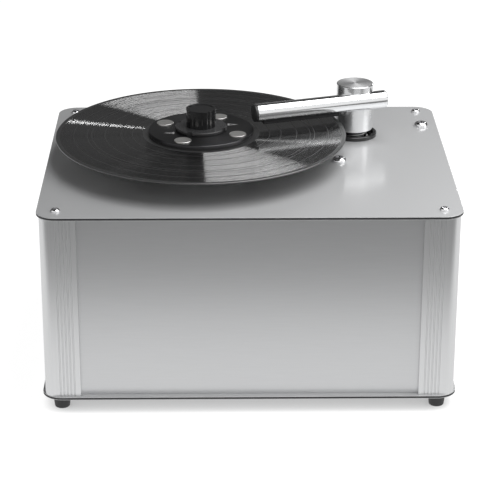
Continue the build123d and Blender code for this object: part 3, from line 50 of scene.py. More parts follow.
# ------------------------------------------------------------------------------- bottom plate
# The floor of the case: a sheet of composite, two thin aluminium skins on a black plastic core,
# routed to a rounded rectangle and drilled at its corners for the screws that come up through
# the feet.


def remap(tree, socket, start, end, low, high):
    """Turns one range of a socket's numbers into another, and holds it at both ends."""
    step = tree.nodes.new("ShaderNodeMapRange")
    ranges = {"From Min": start, "From Max": end, "To Min": low, "To Max": high}
    for name, value in ranges.items():
        step.inputs[name].default_value = value
    tree.links.new(socket, step.inputs["Value"])
    return step


def set_shader(material, **levels):
    """Sets a finish's even levels. An underscore in a level's name stands for a space."""
    shader = material.node_tree.nodes["Principled BSDF"]
    for level, value in levels.items():
        shader.inputs[level.replace("_", " ")].default_value = value


def surface(name, colour, metallic, roughness, grain, spread, depth, stretch=(1, 1, 1)):
    """A finish whose tone, gloss and height all follow one noise in the piece's own space."""
    material = bpy.data.materials.new(name)
    material.use_nodes = True
    set_shader(material, Metallic=metallic)
    nodes = material.node_tree.nodes
    links = material.node_tree.links
    shader = nodes["Principled BSDF"]
    place = nodes.new("ShaderNodeTexCoord")
    stretcher = nodes.new("ShaderNodeMapping")
    stretcher.name = "stretcher"
    stretcher.inputs["Scale"].default_value = stretch
    links.new(place.outputs["Object"], stretcher.inputs["Vector"])
    noise = nodes.new("ShaderNodeTexNoise")
    noise.name = "grain"
    noise.inputs["Scale"].default_value = grain
    noise.inputs["Detail"].default_value = 5
    links.new(stretcher.outputs["Vector"], noise.inputs["Vector"])
    tone = nodes.new("ShaderNodeMix")
    tone.data_type = "RGBA"
    tone.inputs["A"].default_value = [part * (1 - spread) for part in colour] + [1]
    tone.inputs["B"].default_value = [min(part * (1 + spread), 1) for part in colour] + [1]
    links.new(noise.outputs["Fac"], tone.inputs["Factor"])
    links.new(tone.outputs["Result"], shader.inputs["Base Color"])
    dullest = roughness * (1 + spread)
    glossiest = roughness * (1 - spread)
    gloss = remap(material.node_tree, noise.outputs["Fac"], 0, 1, glossiest, dullest)
    links.new(gloss.outputs["Result"], shader.inputs["Roughness"])
    bump = nodes.new("ShaderNodeBump")
    bump.inputs["Strength"].default_value = 1.0
    bump.inputs["Distance"].default_value = depth
    links.new(noise.outputs["Fac"], bump.inputs["Height"])
    links.new(bump.outputs["Normal"], shader.inputs["Normal"])
    return material


def take(piece):
    """Makes a piece the only one selected and the active one."""
    bpy.ops.object.select_all(action="DESELECT")
    piece.select_set(True)
    bpy.context.view_layer.objects.active = piece


def settle(piece, place=None):
    """Moves a piece to a place, if one is given, and keeps its place in its mesh."""
    if place is not None:
        piece.matrix_world = place
    take(piece)
    bpy.ops.object.transform_apply(location=True, rotation=True, scale=True)


def apply(piece, kind, **settings):
    """Adds a modifier to a piece and applies it."""
    take(piece)
    modifier = piece.modifiers.new(kind.lower(), kind)
    for setting, value in settings.items():
        setattr(modifier, setting, value)
    bpy.ops.object.modifier_apply(modifier=modifier.name)


def soften(piece, width, segments=2, angle=30):
    """Rounds every edge that is sharper than the angle."""
    limit = math.radians(angle)
    apply(piece, "BEVEL", width=width, segments=segments, limit_method="ANGLE", angle_limit=limit)


def cut(piece, cutter):
    """Takes the cutter's shape out of a piece."""
    apply(piece, "BOOLEAN", object=cutter, operation="DIFFERENCE", solver="EXACT")
    bpy.data.objects.remove(cutter)


def drill(piece, radius, bottom, top, points, vertices=48):
    """Drills round holes at the points, from the bottom height to the top."""
    for x, y in points:
        middle = (x, y, (bottom + top) / 2)
        bpy.ops.mesh.primitive_cylinder_add(
            vertices=vertices, radius=radius, depth=top - bottom, location=middle
        )
        cut(piece, bpy.context.object)


def paint(piece, material, chosen=None):
    """Gives a material to the whole piece, or to the faces that the test chooses."""
    piece.data.materials.append(material)
    last = len(piece.data.materials) - 1
    for face in piece.data.polygons:
        if chosen is None or chosen(face.center, face.normal):
            face.material_index = last


smooth_angle = 30


def fit(piece, name, body, slot, *nodes):
    """Finishes a piece: its place goes into its mesh, and it gets its name and body. The slot is
    not used.
    """
    settle(piece)
    bpy.ops.object.shade_smooth_by_angle(angle=math.radians(smooth_angle))
    apply(piece, "WEIGHTED_NORMAL", keep_sharp=True, weight=100)
    piece.name = name
    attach(piece, body)
    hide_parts(*nodes)


plate_corner = 0.020
corner_steps = 16
skin = 0.0005
skin_edge = 0.0003
screw_inset = 0.0188
screw_hole = 0.0027
edge_on = 0.3
past = 0.001  # how far a drill runs past the piece

anodised_sheet = surface(
    "satin_anodised_skin", (0.62, 0.624, 0.630), metallic=1, roughness=0.70,
    grain=900, spread=0.03, depth=4e-6,
)
set_shader(anodised_sheet, Coat_Weight=1.0, Coat_Roughness=0.17)
sheet_core = surface(
    "black_plastic_core", (0.022, 0.022, 0.024), metallic=0, roughness=0.55,
    grain=1500, spread=0.3, depth=3e-5,
)


def sandwich(low, high):
    """A sheet with rounded corners, raised in three layers: skin, core and skin."""
    bpy.ops.mesh.primitive_plane_add(size=1, location=(0, 0, low.z))
    plate = bpy.context.object
    bpy.ops.object.transform_apply(location=True)
    bpy.ops.object.mode_set(mode="EDIT")
    size = (high.x - low.x, high.y - low.y, 1)
    bpy.ops.transform.resize(value=size, center_override=(0, 0, low.z))
    bpy.ops.mesh.bevel(affect="VERTICES", offset=plate_corner, segments=corner_steps)
    for rise in (skin, high.z - low.z - 2 * skin, skin):
        bpy.ops.mesh.extrude_region_move(TRANSFORM_OT_translate={"value": (0, 0, rise)})
    bpy.ops.mesh.select_all(action="SELECT")
    bpy.ops.mesh.normals_make_consistent(inside=False)
    bpy.ops.object.mode_set(mode="OBJECT")
    soften(plate, skin_edge, 3, 60)
    return plate


def is_core(middle, normal, low, high):
    """True on the black edge between the two skins."""
    nearly_skin = 0.9 * skin
    return abs(normal.z) < edge_on and low.z + nearly_skin < middle.z < high.z - nearly_skin


base_low, base_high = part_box("bottom_plate")
screw_points = [
    (side_x * (base_high.x - screw_inset), side_y * (base_high.y - screw_inset))
    for side_y in (-1, 1)
    for side_x in (-1, 1)
]
base_sheet = sandwich(base_low, base_high)
drill(base_sheet, screw_hole, base_low.z - past, base_high.z + past, screw_points, 24)
paint(base_sheet, anodised_sheet)
paint(base_sheet, sheet_core, lambda middle, normal: is_core(middle, normal, base_low, base_high))
fit(base_sheet, "base_sheet", "chassis", "sheet", "bottom_plate")

# --------------------------------------------------------------------------------------- feet
# Four moulded rubber feet, tapered, with a recess that hides the screw's head. They are turned
# from one profile and copied to the corners.


weld = 0.000002


def turned(profile, segments=96):
    """A point is drawn out along the profile of radii and heights, then spun round the Z axis."""
    radius, height = profile[0]
    bpy.ops.mesh.primitive_plane_add(size=0.001, location=(0, 0, 0))
    piece = bpy.context.object
    bpy.ops.object.mode_set(mode="EDIT")
    bpy.ops.mesh.merge(type="CENTER")
    bpy.ops.transform.translate(value=(radius, 0, height))
    for next_radius, next_height in profile[1:]:
        step = (next_radius - radius, 0, next_height - height)
        bpy.ops.mesh.extrude_vertices_move(TRANSFORM_OT_translate={"value": step})
        radius, height = next_radius, next_height
    bpy.ops.mesh.select_all(action="SELECT")
    bpy.ops.mesh.spin(
        steps=segments, angle=2 * math.pi, center=(0, 0, 0), axis=(0, 0, 1), use_auto_merge=True
    )
    bpy.ops.mesh.select_all(action="SELECT")
    bpy.ops.mesh.remove_doubles(threshold=weld)
    bpy.ops.mesh.normals_make_consistent(inside=False)
    bpy.ops.object.mode_set(mode="OBJECT")
    return piece


def copied(piece, place):
    """A copy of a piece with its own mesh, at a place, which is a matrix."""
    copy = piece.copy()
    copy.data = piece.data.copy()
    copy.parent = None
    bpy.context.collection.objects.link(copy)
    copy.matrix_world = place
    return copy


def repeated(piece, places):
    """Copies a piece to each place and joins the copies."""
    copies = [copied(piece, place @ piece.matrix_world) for place in places]
    bpy.data.objects.remove(piece)
    bpy.ops.object.select_all(action="DESELECT")
    for copy in copies:
        copy.select_set(True)
    bpy.context.view_layer.objects.active = copies[0]
    bpy.ops.object.transform_apply(location=True, rotation=True, scale=True)
    if len(copies) > 1:
        bpy.ops.object.join()
    return copies[0]


foot_top = 0.00925
foot_bottom = 0.0075
foot_recess = 0.00495
foot_recess_depth = 0.005
foot_edge = 0.0011
rubber = surface(
    "moulded_rubber", (0.028, 0.028, 0.029), metallic=0, roughness=0.62,
    grain=2600, spread=0.25, depth=4e-5,
)
foot = turned(
    [
        (screw_hole, base_low.z),
        (foot_top, base_low.z),
        (foot_bottom, 0),
        (foot_recess, 0),
        (foot_recess, foot_recess_depth),
        (screw_hole, foot_recess_depth),
        (screw_hole, base_low.z),
    ],
    48,
)
soften(foot, foot_edge, 4)
feet = repeated(foot, [Matrix.Translation((x, y, 0)) for x, y in screw_points])
paint(feet, rubber)
fit(feet, "rubber_feet", "chassis", "rubber", "feet")

# ------------------------------------------------------------------------------- corner posts
# Four lengths of one aluminium extrusion, satin anodised. The section is an angle with a solid
# boss for the screws, a large outer radius, five half-round flutes down each face and a slot
# that the panel slides into.
post_low, post_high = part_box("corner_post_front_left")
post_leg = post_high.x - post_low.x
post_wall = 0.010
post_boss = 0.022
post_radius = 0.017
post_round_steps = 18
post_inset = 0.003
post_edge = 0.00028
post_bore = 0.00255
post_height = post_high.z - post_low.z
flute_first = 0.016
flute_pitch = 0.0035
flute_count = 5
flute_radius = 0.0007
slot_from_face = 0.00435
slot_width = 0.0033
slot_depth = 0.008
slot_past = 0.00002
touch = 0.000001


def mill(piece, middle, size):
    """Mills a block out of a piece."""
    bpy.ops.mesh.primitive_cube_add(size=1, location=middle, scale=size)
    cut(piece, bpy.context.object)


extrusion = surface(
    "satin_extrusion", (0.70, 0.705, 0.71), metallic=1, roughness=0.33,
    grain=700, spread=0.05, depth=6e-6, stretch=(1, 1, 0.012),
)

bpy.ops.mesh.primitive_plane_add(size=post_boss, location=(-post_boss / 2, -post_boss / 2, 0))
post = bpy.context.object
bpy.ops.object.transform_apply(location=True)
bpy.ops.object.mode_set(mode="EDIT")
for axis in ((1, 0, 0), (0, 1, 0)):
    bpy.ops.mesh.select_all(action="SELECT")
    bpy.ops.mesh.bisect(plane_co=(-post_wall, -post_wall, 0), plane_no=axis)
for along in (0, 1):
    bpy.ops.mesh.select_all(action="DESELECT")
    bpy.ops.object.mode_set(mode="OBJECT")
    across = 1 - along
    for edge in post.data.edges:
        ends = [post.data.vertices[end].co for end in edge.vertices]
        on_side = all(abs(end[along] + post_boss) < touch for end in ends)
        in_wall = all(end[across] > -post_wall - touch for end in ends)
        edge.select = on_side and in_wall
    bpy.ops.object.mode_set(mode="EDIT")
    draw = [0, 0, 0]
    draw[along] = post_boss - post_leg
    bpy.ops.mesh.select_mode(type="EDGE")
    bpy.ops.mesh.extrude_edges_move(TRANSFORM_OT_translate={"value": draw})
bpy.ops.mesh.select_all(action="DESELECT")
bpy.ops.mesh.select_mode(type="VERT")
bpy.ops.object.mode_set(mode="OBJECT")
for point in post.data.vertices:
    point.select = point.co.length < touch
bpy.ops.object.mode_set(mode="EDIT")
bpy.ops.mesh.bevel(affect="VERTICES", offset=post_radius, segments=post_round_steps)
bpy.ops.mesh.select_all(action="SELECT")
bpy.ops.mesh.dissolve_limited(angle_limit=math.radians(1))
bpy.ops.mesh.extrude_region_move(TRANSFORM_OT_translate={"value": (0, 0, post_height)})
bpy.ops.mesh.select_all(action="SELECT")
bpy.ops.mesh.normals_make_consistent(inside=False)
bpy.ops.object.mode_set(mode="OBJECT")
for along in (0, 1):
    flutes = []
    for flute in range(flute_count):
        reach = -flute_first - flute * flute_pitch
        flutes.append((reach, 0) if along == 0 else (0, reach))
    drill(post, flute_radius, -past, post_height + past, flutes, 20)
    slot_middle = [-slot_from_face - slot_width / 2] * 2
    slot_middle[along] = -post_leg + slot_depth / 2
    slot_size = [slot_width, slot_width, post_height * 1.1]
    slot_size[along] = slot_depth + slot_past
    mill(post, (*slot_middle, post_height / 2), slot_size)
bore_place = post_inset - screw_inset
drill(post, post_bore, -past, post_height + past, [(bore_place, bore_place)], 24)
soften(post, post_edge, 2, 40)
paint(post, extrusion)
post_face_x = base_high.x - post_inset
post_face_y = base_high.y - post_inset
for side_y, end_name, turns in ((1, "rear", (0, 1)), (-1, "front", (3, 2))):
    for side_x, side_name, turn in ((1, "right", turns[0]), (-1, "left", turns[1])):
        place = Matrix.Translation((side_x * post_face_x, side_y * post_face_y, post_low.z))
        copy = copied(post, place @ Matrix.Rotation(turn * math.pi / 2, 4, "Z"))
        post_node = f"corner_post_{end_name}_{side_name}"
        fit(copy, f"post_{end_name}_{side_name}", "chassis", "extrusion", post_node)
bpy.data.objects.remove(post)

# ------------------------------------------------------------------------------------- panels
# Four plain panels of anodised sheet, 3 mm thick, slid into the posts before the deck goes on.
# The rear one has the cutouts for the inlet, the power switch, the drain and the fan's air, the
# right one those for two switches. They are the frame's own solids.


def dress(material, slot, *names):
    """Gives a finish to nodes of the frame that are shown as they are."""
    for name in names:
        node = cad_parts[name]
        node.data.materials.clear()
        node.data.materials.append(material)


panel_sheet = surface(
    "satin_anodised_panel", (0.62, 0.625, 0.632), metallic=1, roughness=0.34,
    grain=800, spread=0.03, depth=4e-6, stretch=(0.05, 0.05, 1),
)
dress(panel_sheet, "sheet", "front_panel", "rear_panel", "left_panel", "right_panel")

# --------------------------------------------------------------------------------------- deck
# The top of the case, cut from the same composite sheet as the floor. It carries everything:
# the bearing housing and the arm's guide come up through two large holes, and three bolts near
# the arm hold up the waste canister.
deck_low, deck_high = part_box("top_plate")
record_low, record_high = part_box("record")
column_low, column_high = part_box("arm_column")
platter_centre = ((record_low.x + record_high.x) / 2, (record_low.y + record_high.y) / 2)
arm_centre = ((column_low.x + column_high.x) / 2, (column_low.y + column_high.y) / 2)
housing_hole = 0.0173
guide_hole = 0.0203
bolt_hole = 0.0042
canister_from_arm = -0.005
bolt_circle = 0.08492
bolt_angles = (19.4, 139.4, 259.4)
bolt_points = [
    (
        arm_centre[0] + canister_from_arm + bolt_circle * math.cos(math.radians(angle)),
        arm_centre[1] + bolt_circle * math.sin(math.radians(angle)),
    )
    for angle in bolt_angles
]
deck = sandwich(deck_low, deck_high)
deck_span = (deck_low.z - past, deck_high.z + past)
drill(deck, screw_hole, *deck_span, screw_points, 24)
drill(deck, bolt_hole, *deck_span, bolt_points, 24)
drill(deck, housing_hole, *deck_span, [platter_centre], 96)
drill(deck, guide_hole, *deck_span, [arm_centre], 96)
paint(deck, anodised_sheet)
paint(deck, sheet_core, lambda middle, normal: is_core(middle, normal, deck_low, deck_high))
fit(deck, "deck_sheet", "chassis", "sheet", "top_plate")

# ----------------------------------------------------------------------------- case screws
# Eight button-head socket screws, bright plated: four hold the deck down to the posts and four
# come up through the feet.


def button_screw(radius, height, shank, length, socket, segments=64):
    """A screw that stands on Z 0: a domed head above, its shank below, and a hex socket."""
    rim = height * 0.16
    crown = radius * 0.55
    dome_steps = 8
    socket_depth = height * 0.6
    tip = shank * 0.2
    profile = [(0, -length), (shank - tip, -length), (shank, -length + tip), (shank, 0)]
    profile += [(radius, 0)]
    for step in range(dome_steps + 1):
        turn = math.radians(step * 90 / dome_steps)
        reach = crown + (radius - crown) * math.cos(turn)
        profile.append((reach, rim + (height - rim) * math.sin(turn)))
    profile.append((0, height))
    screw = turned(profile, segments)
    bpy.ops.mesh.primitive_cylinder_add(
        vertices=6, radius=socket / math.sqrt(3), depth=2 * socket_depth, location=(0, 0, height)
    )
    cut(screw, bpy.context.object)
    soften(screw, height * 0.03, 2, 50)
    return screw


bright_plate = surface(
    "bright_plating", (0.80, 0.80, 0.81), metallic=1, roughness=0.13,
    grain=1800, spread=0.12, depth=6e-6,
)
screw_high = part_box("case_screws")[1]
case_head = 0.00475
case_head_height = screw_high.z - deck_high.z
case_shank = 0.0025
case_socket = 0.003
down_length = 0.017
up_length = 0.027
screw_down = button_screw(case_head, case_head_height, case_shank, down_length, case_socket)
down_places = [Matrix.Translation((x, y, deck_high.z)) for x, y in screw_points]
screws_down = repeated(screw_down, down_places)
screw_up = button_screw(case_head, case_head_height, case_shank, up_length, case_socket)
turn_over = Matrix.Rotation(math.pi, 4, "X")
up_places = [Matrix.Translation((x, y, foot_recess_depth)) @ turn_over for x, y in screw_points]
screws_up = repeated(screw_up, up_places)
for screws, place_name in ((screws_down, "deck"), (screws_up, "foot")):
    paint(screws, bright_plate)
    fit(screws, f"{place_name}_screws", "chassis", "bright_steel", "case_screws")

# --------------------------------------------------------------------------- canister bolts
# Three large domed bolts with wide heads, polished, that hang the waste canister from the deck,
# each with its nut underneath.
bolt_low, bolt_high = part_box("canister_bolts")
bolt_head = 0.0075
bolt_shank = 0.004
bolt_socket = 0.005
nut_width = 0.013
nut_height = 0.0065
nut_edge = 0.0005
thread_gap = 0.00005
bolt_length = deck_high.z - bolt_low.z
bolt = button_screw(bolt_head, bolt_high.z - deck_high.z, bolt_shank, bolt_length, bolt_socket, 96)
bolts = repeated(bolt, [Matrix.Translation((x, y, deck_high.z)) for x, y in bolt_points])
polished_bolt = surface(
    "polished_bolt", (0.82, 0.82, 0.83), metallic=1, roughness=0.07,
    grain=1200, spread=0.2, depth=3e-6,
)
paint(bolts, polished_bolt)
fit(bolts, "canister_bolt_domes", "chassis", "bright_steel", "canister_bolts")
bpy.ops.mesh.primitive_cylinder_add(
    vertices=6,
    radius=nut_width / math.sqrt(3),
    depth=nut_height,
    location=(0, 0, bolt_low.z + nut_height / 2),
)
nut = bpy.context.object
nut_top = bolt_low.z + nut_height
drill(nut, bolt_shank + thread_gap, bolt_low.z - past, nut_top + past, [(0, 0)])
soften(nut, nut_edge, 2)
nuts = repeated(nut, [Matrix.Translation((x, y, 0)) for x, y in bolt_points])
paint(nuts, bright_plate)
fit(nuts, "canister_bolt_nuts", "chassis", "bright_steel", "canister_bolts")

# ------------------------------------------------------------------------------------- record
# A 12-inch record in black vinyl. The grooves run between a smooth lead-in under the raised rim
# and the run-out round the label, and smooth bands part the tracks. The label is plain paper.


def vector_step(tree, operation, socket):
    """One step of arithmetic on a direction or a place."""
    step = tree.nodes.new("ShaderNodeVectorMath")
    step.operation = operation
    tree.links.new(socket, step.inputs[0])
    return step


def ringed(name, colour, metallic, roughness, centre, rings, spread, depth):
    """A finish whose tone, gloss and height change with the distance from an upright axis."""
    material = surface(name, colour, metallic, roughness, rings, spread, depth)
    tree = material.node_tree
    nodes = tree.nodes
    nodes["stretcher"].inputs["Location"].default_value = (-centre[0], -centre[1], 0)
    flat = vector_step(tree, "MULTIPLY", nodes["stretcher"].outputs["Vector"])
    flat.name = "flat"
    flat.inputs[1].default_value = (1, 1, 0)
    away = vector_step(tree, "LENGTH", flat.outputs["Vector"])
    nodes["grain"].noise_dimensions = "1D"
    tree.links.new(away.outputs["Value"], nodes["grain"].inputs["W"])
    return material


def lathe_sheen(material, strength):
    """Stretches the highlight across the rings that a lathe, or a groove, leaves."""
    set_shader(material, Anisotropic=strength, Anisotropic_Rotation=0.25)
    nodes = material.node_tree.nodes
    tangent = nodes.new("ShaderNodeTangent")
    tangent.direction_type = "RADIAL"
    tangent.axis = "Z"
    shader = nodes["Principled BSDF"]
    material.node_tree.links.new(tangent.outputs["Tangent"], shader.inputs["Tangent"])


def lean_outwards(material):
    """Leans the surface away from and towards the axis, ring by ring, as groove walls do."""
    tree = material.node_tree
    nodes = tree.nodes
    links = tree.links
    outwards = vector_step(tree, "NORMALIZE", nodes["flat"].outputs["Vector"])
    to_world = nodes.new("ShaderNodeVectorTransform")
    to_world.vector_type = "VECTOR"
    to_world.convert_from = "OBJECT"
    to_world.convert_to = "WORLD"
    links.new(outwards.outputs["Vector"], to_world.inputs["Vector"])
    grain = nodes["grain"]
    lean = remap(tree, grain.outputs["Fac"], *wall_turn, -groove_slope, groove_slope)
    music = nodes.new("ShaderNodeTexNoise")
    music.noise_dimensions = "1D"
    music.inputs["Scale"].default_value = music_scale
    links.new(grain.inputs["W"].links[0].from_socket, music.inputs["W"])
    swing = remap(tree, music.outputs["Fac"], *music_range, *groove_swing)
    swung = nodes.new("ShaderNodeMath")
    swung.operation = "MULTIPLY"
    links.new(lean.outputs["Result"], swung.inputs[0])
    links.new(swing.outputs["Result"], swung.inputs[1])
    wall = vector_step(tree, "SCALE", to_world.outputs["Vector"])
    links.new(swung.outputs["Value"], wall.inputs["Scale"])
    upright = nodes.new("ShaderNodeNewGeometry")
    leaning = vector_step(tree, "ADD", upright.outputs["Normal"])
    links.new(wall.outputs["Vector"], leaning.inputs[1])
    unit = vector_step(tree, "NORMALIZE", leaning.outputs["Vector"])
    links.new(unit.outputs["Vector"], nodes["Principled BSDF"].inputs["Normal"])


record_radius = (record_high.x - record_low.x) / 2
pin_hole = 0.00362
label_radius = 0.050
label_slope = 0.0035
groove_first = 0.0605
groove_last = 0.1462
rim_bead = 0.1476
bead_slope = 0.0009
groove_step = 0.0002
rim_round = 0.00042
track_gaps = (0.0714, 0.0832, 0.0996, 0.1132, 0.1178, 0.1322)
gap_width = 0.0007
gap_dip = 0.00003
record_edge = 0.00012
level_enough = 0.9

# The noise turns from one groove wall to the other within wall_turn, and a slow one, the music,
# swings the walls' slope.
groove_slope = 1.0
wall_turn = (0.47, 0.53)
music_scale = 900
music_range = (0.3, 0.7)
groove_swing = (0.8, 1.2)
vinyl = ringed(
    "grooved_vinyl", (0.003, 0.003, 0.0033), metallic=0, roughness=0.15,
    centre=platter_centre, rings=6000, spread=0.15, depth=1e-5,
)
lathe_sheen(vinyl, strength=1)
set_shader(vinyl, IOR=2.6, Coat_Weight=0.4, Coat_Roughness=0.08)
vinyl.node_tree.nodes["grain"].inputs["Detail"].default_value = 1
lean_outwards(vinyl)
smooth_vinyl = ringed(
    "smooth_vinyl", (0.014, 0.014, 0.0145), metallic=0, roughness=0.36,
    centre=platter_centre, rings=900, spread=0.15, depth=4e-6,
)
set_shader(smooth_vinyl, IOR=2.2)
label_paper = ringed(
    "label_paper", (0.42, 0.40, 0.36), metallic=0, roughness=0.75,
    centre=platter_centre, rings=240, spread=0.04, depth=5e-6,
)

record_top = record_high.z
groove_top = record_top - groove_step
upper_side = [(pin_hole, record_top), (label_radius, record_top)]
upper_side += [(label_radius + label_slope, groove_top), (groove_first, groove_top)]
for gap in track_gaps:
    upper_side += [
        (gap - gap_width / 2, groove_top),
        (gap, groove_top - gap_dip),
        (gap + gap_width / 2, groove_top),
    ]
upper_side += [(groove_last, groove_top), (rim_bead, groove_top)]
upper_side += [(rim_bead + bead_slope, record_top), (record_radius - rim_round, record_top)]
upper_side += [(record_radius, record_top - rim_round)]
both_heights = record_low.z + record_top
under_side = [(radius, both_heights - height) for radius, height in reversed(upper_side)]
record = turned(upper_side + under_side + upper_side[:1], 288)
soften(record, record_edge, 2, 35)
paint(record, smooth_vinyl)


def is_grooved(middle, normal):
    """True over the cut bands of the record, and false on the smooth bands between them."""
    away = (Vector(middle).xy - Vector(platter_centre)).length
    on_gap = any(abs(away - gap) < gap_width / 2 for gap in track_gaps)
    return groove_first < away < groove_last and not on_gap and abs(normal.z) > level_enough


def is_label(middle, normal):
    """True on the paper label."""
    away = (Vector(middle).xy - Vector(platter_centre)).length
    return away < label_radius and abs(normal.z) > level_enough


platter_place = Matrix.Translation((*platter_centre, 0))
settle(record, platter_place)
paint(record, vinyl, is_grooved)
paint(record, label_paper, is_label)
fit(record, "vinyl_record", "platter", "vinyl", "record")

# ------------------------------------------------------------------------------- record clamp
# The weight that presses the record onto the platter: a rubber seal that keeps liquid off the
# label, a turned plate with two engraved arrows, four magnets let into it, and a hub and a knob
# that are screwed on from below.
seal_low, seal_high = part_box("clamp_seal")
clamp_low, clamp_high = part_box("clamp_plate")
hub_low, hub_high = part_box("clamp_hub")
knob_low, knob_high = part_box("clamp_knob")
magnet_low, magnet_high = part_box("clamp_magnets")
clamp_radius = (clamp_high.x - clamp_low.x) / 2
seal_radius = (seal_high.x - seal_low.x) / 2
seal_bore = 0.0465
hub_radius = 0.0267
hub_notch = 0.003
knob_radius = 0.01535
scallop_radius = 0.004
scallop_circle = 0.01885
scallop_count = 12
knob_rim = 0.0025
knob_dish = 0.0006
knob_socket = 0.0048
magnet_radius = 0.00875
magnet_gap = 0.0001
magnet_circle = 0.042
magnet_first = 64
magnet_angles = [math.radians(magnet_first + 90 * turn) for turn in range(4)]
magnet_spots = [
    (magnet_circle * math.cos(angle), magnet_circle * math.sin(angle)) for angle in magnet_angles
]
seal_edge = 0.0002
plate_edge = 0.0007
magnet_edge = 0.0004
hub_edge = 0.0009
knob_edge = 0.0005


def washer(bore, radius, low, high, segments):
    """A plain ring, turned between two heights."""
    section = [(bore, low), (radius, low), (radius, high), (bore, high), (bore, low)]
    return turned(section, segments)


seal = washer(seal_bore, seal_radius, seal_low.z, seal_high.z, 144)
soften(seal, seal_edge)
seal.matrix_world = platter_place
paint(seal, rubber)
fit(seal, "seal_ring", "clamp", "rubber", "clamp_seal")

black_turned = ringed(
    "black_anodised", (0.075, 0.075, 0.078), metallic=1, roughness=0.34,
    centre=platter_centre, rings=1800, spread=0.15, depth=6e-6,
)
lathe_sheen(black_turned, strength=0.6)
gloss_black = surface(
    "gloss_black_plastic", (0.006, 0.006, 0.0065), metallic=0, roughness=0.16,
    grain=1300, spread=0.15, depth=4e-6,
)
magnet_plate = surface(
    "nickel_plate", (0.80, 0.79, 0.77), metallic=1, roughness=0.38,
    grain=1500, spread=0.1, depth=4e-6,
)
hub_black = surface(
    "satin_black_plastic", (0.03, 0.03, 0.031), metallic=0, roughness=0.28,
    grain=1300, spread=0.15, depth=4e-6,
)
mark_grey = surface(
    "engraved_mark", (0.24, 0.24, 0.24), metallic=0, roughness=0.5,
    grain=2500, spread=0.15, depth=4e-6,
)

plate = washer(pin_hole, clamp_radius, clamp_low.z, clamp_high.z, 192)
soften(plate, plate_edge, 4)
drill(plate, magnet_radius + magnet_gap, magnet_low.z, clamp_high.z + past, magnet_spots, 64)
settle(plate, platter_place)
paint(plate, black_turned)
fit(plate, "clamp_disc", "clamp", "black_anodised", "clamp_plate")

arrow_length = 0.011
arrow_width = 0.0062
arrow_inside = 0.45
arrow_height = 0.00004  # above the plate, and as far into it
arrow_spot = (0.0312, 0.0133)
outlines = []
for share, rise in ((1, 2 * arrow_height), (arrow_inside, 4 * arrow_height)):
    bpy.ops.mesh.primitive_cylinder_add(
        vertices=3, radius=1, depth=rise, rotation=(0, 0, -math.pi / 2)
    )
    outline = bpy.context.object
    bpy.ops.object.transform_apply(rotation=True)
    outline.scale = (share * arrow_length / 1.5, share * arrow_width / math.sqrt(3), 1)
    bpy.ops.object.transform_apply(scale=True)
    outlines.append(outline)
arrow, inside = outlines
cut(arrow, inside)
arrow_top = platter_place @ Matrix.Translation((0, 0, clamp_high.z))
arrow_there = Matrix.Translation((*arrow_spot, 0))
half_turn = Matrix.Rotation(math.pi, 4, "Z")
arrows = repeated(arrow, [arrow_top @ arrow_there, arrow_top @ half_turn @ arrow_there])
paint(arrows, mark_grey)
fit(arrows, "arrow_marks", "clamp", "grey_plastic", "clamp_plate")

bpy.ops.mesh.primitive_cylinder_add(
    vertices=64, radius=magnet_radius, depth=magnet_high.z - magnet_low.z, location=(0, 0, 0)
)
magnet = bpy.context.object
soften(magnet, magnet_edge, 3)
magnet_middle = (magnet_low.z + magnet_high.z) / 2
magnet_places = [
    platter_place @ Matrix.Translation((x, y, magnet_middle)) for x, y in magnet_spots
]
magnets = repeated(magnet, magnet_places)
paint(magnets, magnet_plate)
fit(magnets, "magnet_discs", "clamp", "bright_steel", "clamp_magnets")

hub = washer(pin_hole, hub_radius, hub_low.z, hub_high.z, 144)
soften(hub, hub_edge, 4)
notch_spots = [(hub_radius * math.cos(a), hub_radius * math.sin(a)) for a in magnet_angles]
drill(hub, hub_notch, hub_low.z - past, hub_high.z + past, notch_spots)
hub.matrix_world = platter_place
paint(hub, hub_black)
fit(hub, "hub_disc", "clamp", "gloss_black", "clamp_hub")

knob = turned(
    [
        (pin_hole, knob_low.z),
        (knob_radius, knob_low.z),
        (knob_radius, knob_high.z),
        (0, knob_high.z),
        (0, knob_low.z + knob_socket),
        (pin_hole, knob_low.z + knob_socket),
        (pin_hole, knob_low.z),
    ],
    144,
)
scallop_angles = [2 * math.pi * turn / scallop_count for turn in range(scallop_count)]
scallops = [(scallop_circle * math.cos(a), scallop_circle * math.sin(a)) for a in scallop_angles]
drill(knob, scallop_radius, knob_low.z - past, knob_high.z + past, scallops, 64)
drill(knob, knob_radius - knob_rim, knob_high.z - knob_dish, knob_high.z + past, [(0, 0)], 96)
soften(knob, knob_edge, 4, 25)
knob.matrix_world = platter_place
paint(knob, gloss_black)
fit(knob, "grip_knob", "clamp", "black_plastic", "clamp_knob")

# ------------------------------------------------------------------------------ suction arm
# The arm that vacuums the liquid off the record: a solid turned column on a sprung stem, and a
# polished tube that lies in a channel across its side. The tube has a flat with a slot beneath,
# a velvet strip glued on each side of the slot, a plug in its tip and a cap in its tail.
tube_radius = 0.0095
tube_wall = 0.0015
tube_chamfer = 0.0005
tube_edge = 0.00015
tube_height = 0.252
tube_offset = 0.0157
arm_angle = math.radians(18.63)
tip_reach = 0.1174
tail_reach = 0.0288
cap_length = 0.003
cap_chamfer = 0.0012
cap_insert = 0.004
cap_edge = 0.0003
flat_start = -0.1114
flat_length = 0.086
flat_depth = 0.00775
slot_long = 0.080
slot_wide = 0.0016
port_radius = 0.005
port_place = 0.008
port_depth = 0.01
arm_origin = Vector((arm_centre[0], arm_centre[1], tube_height))
arm_origin += Vector((math.sin(arm_angle), -math.cos(arm_angle), 0)) * tube_offset
arm_place = Matrix.Translation(arm_origin) @ Matrix.Rotation(arm_angle, 4, "Z")
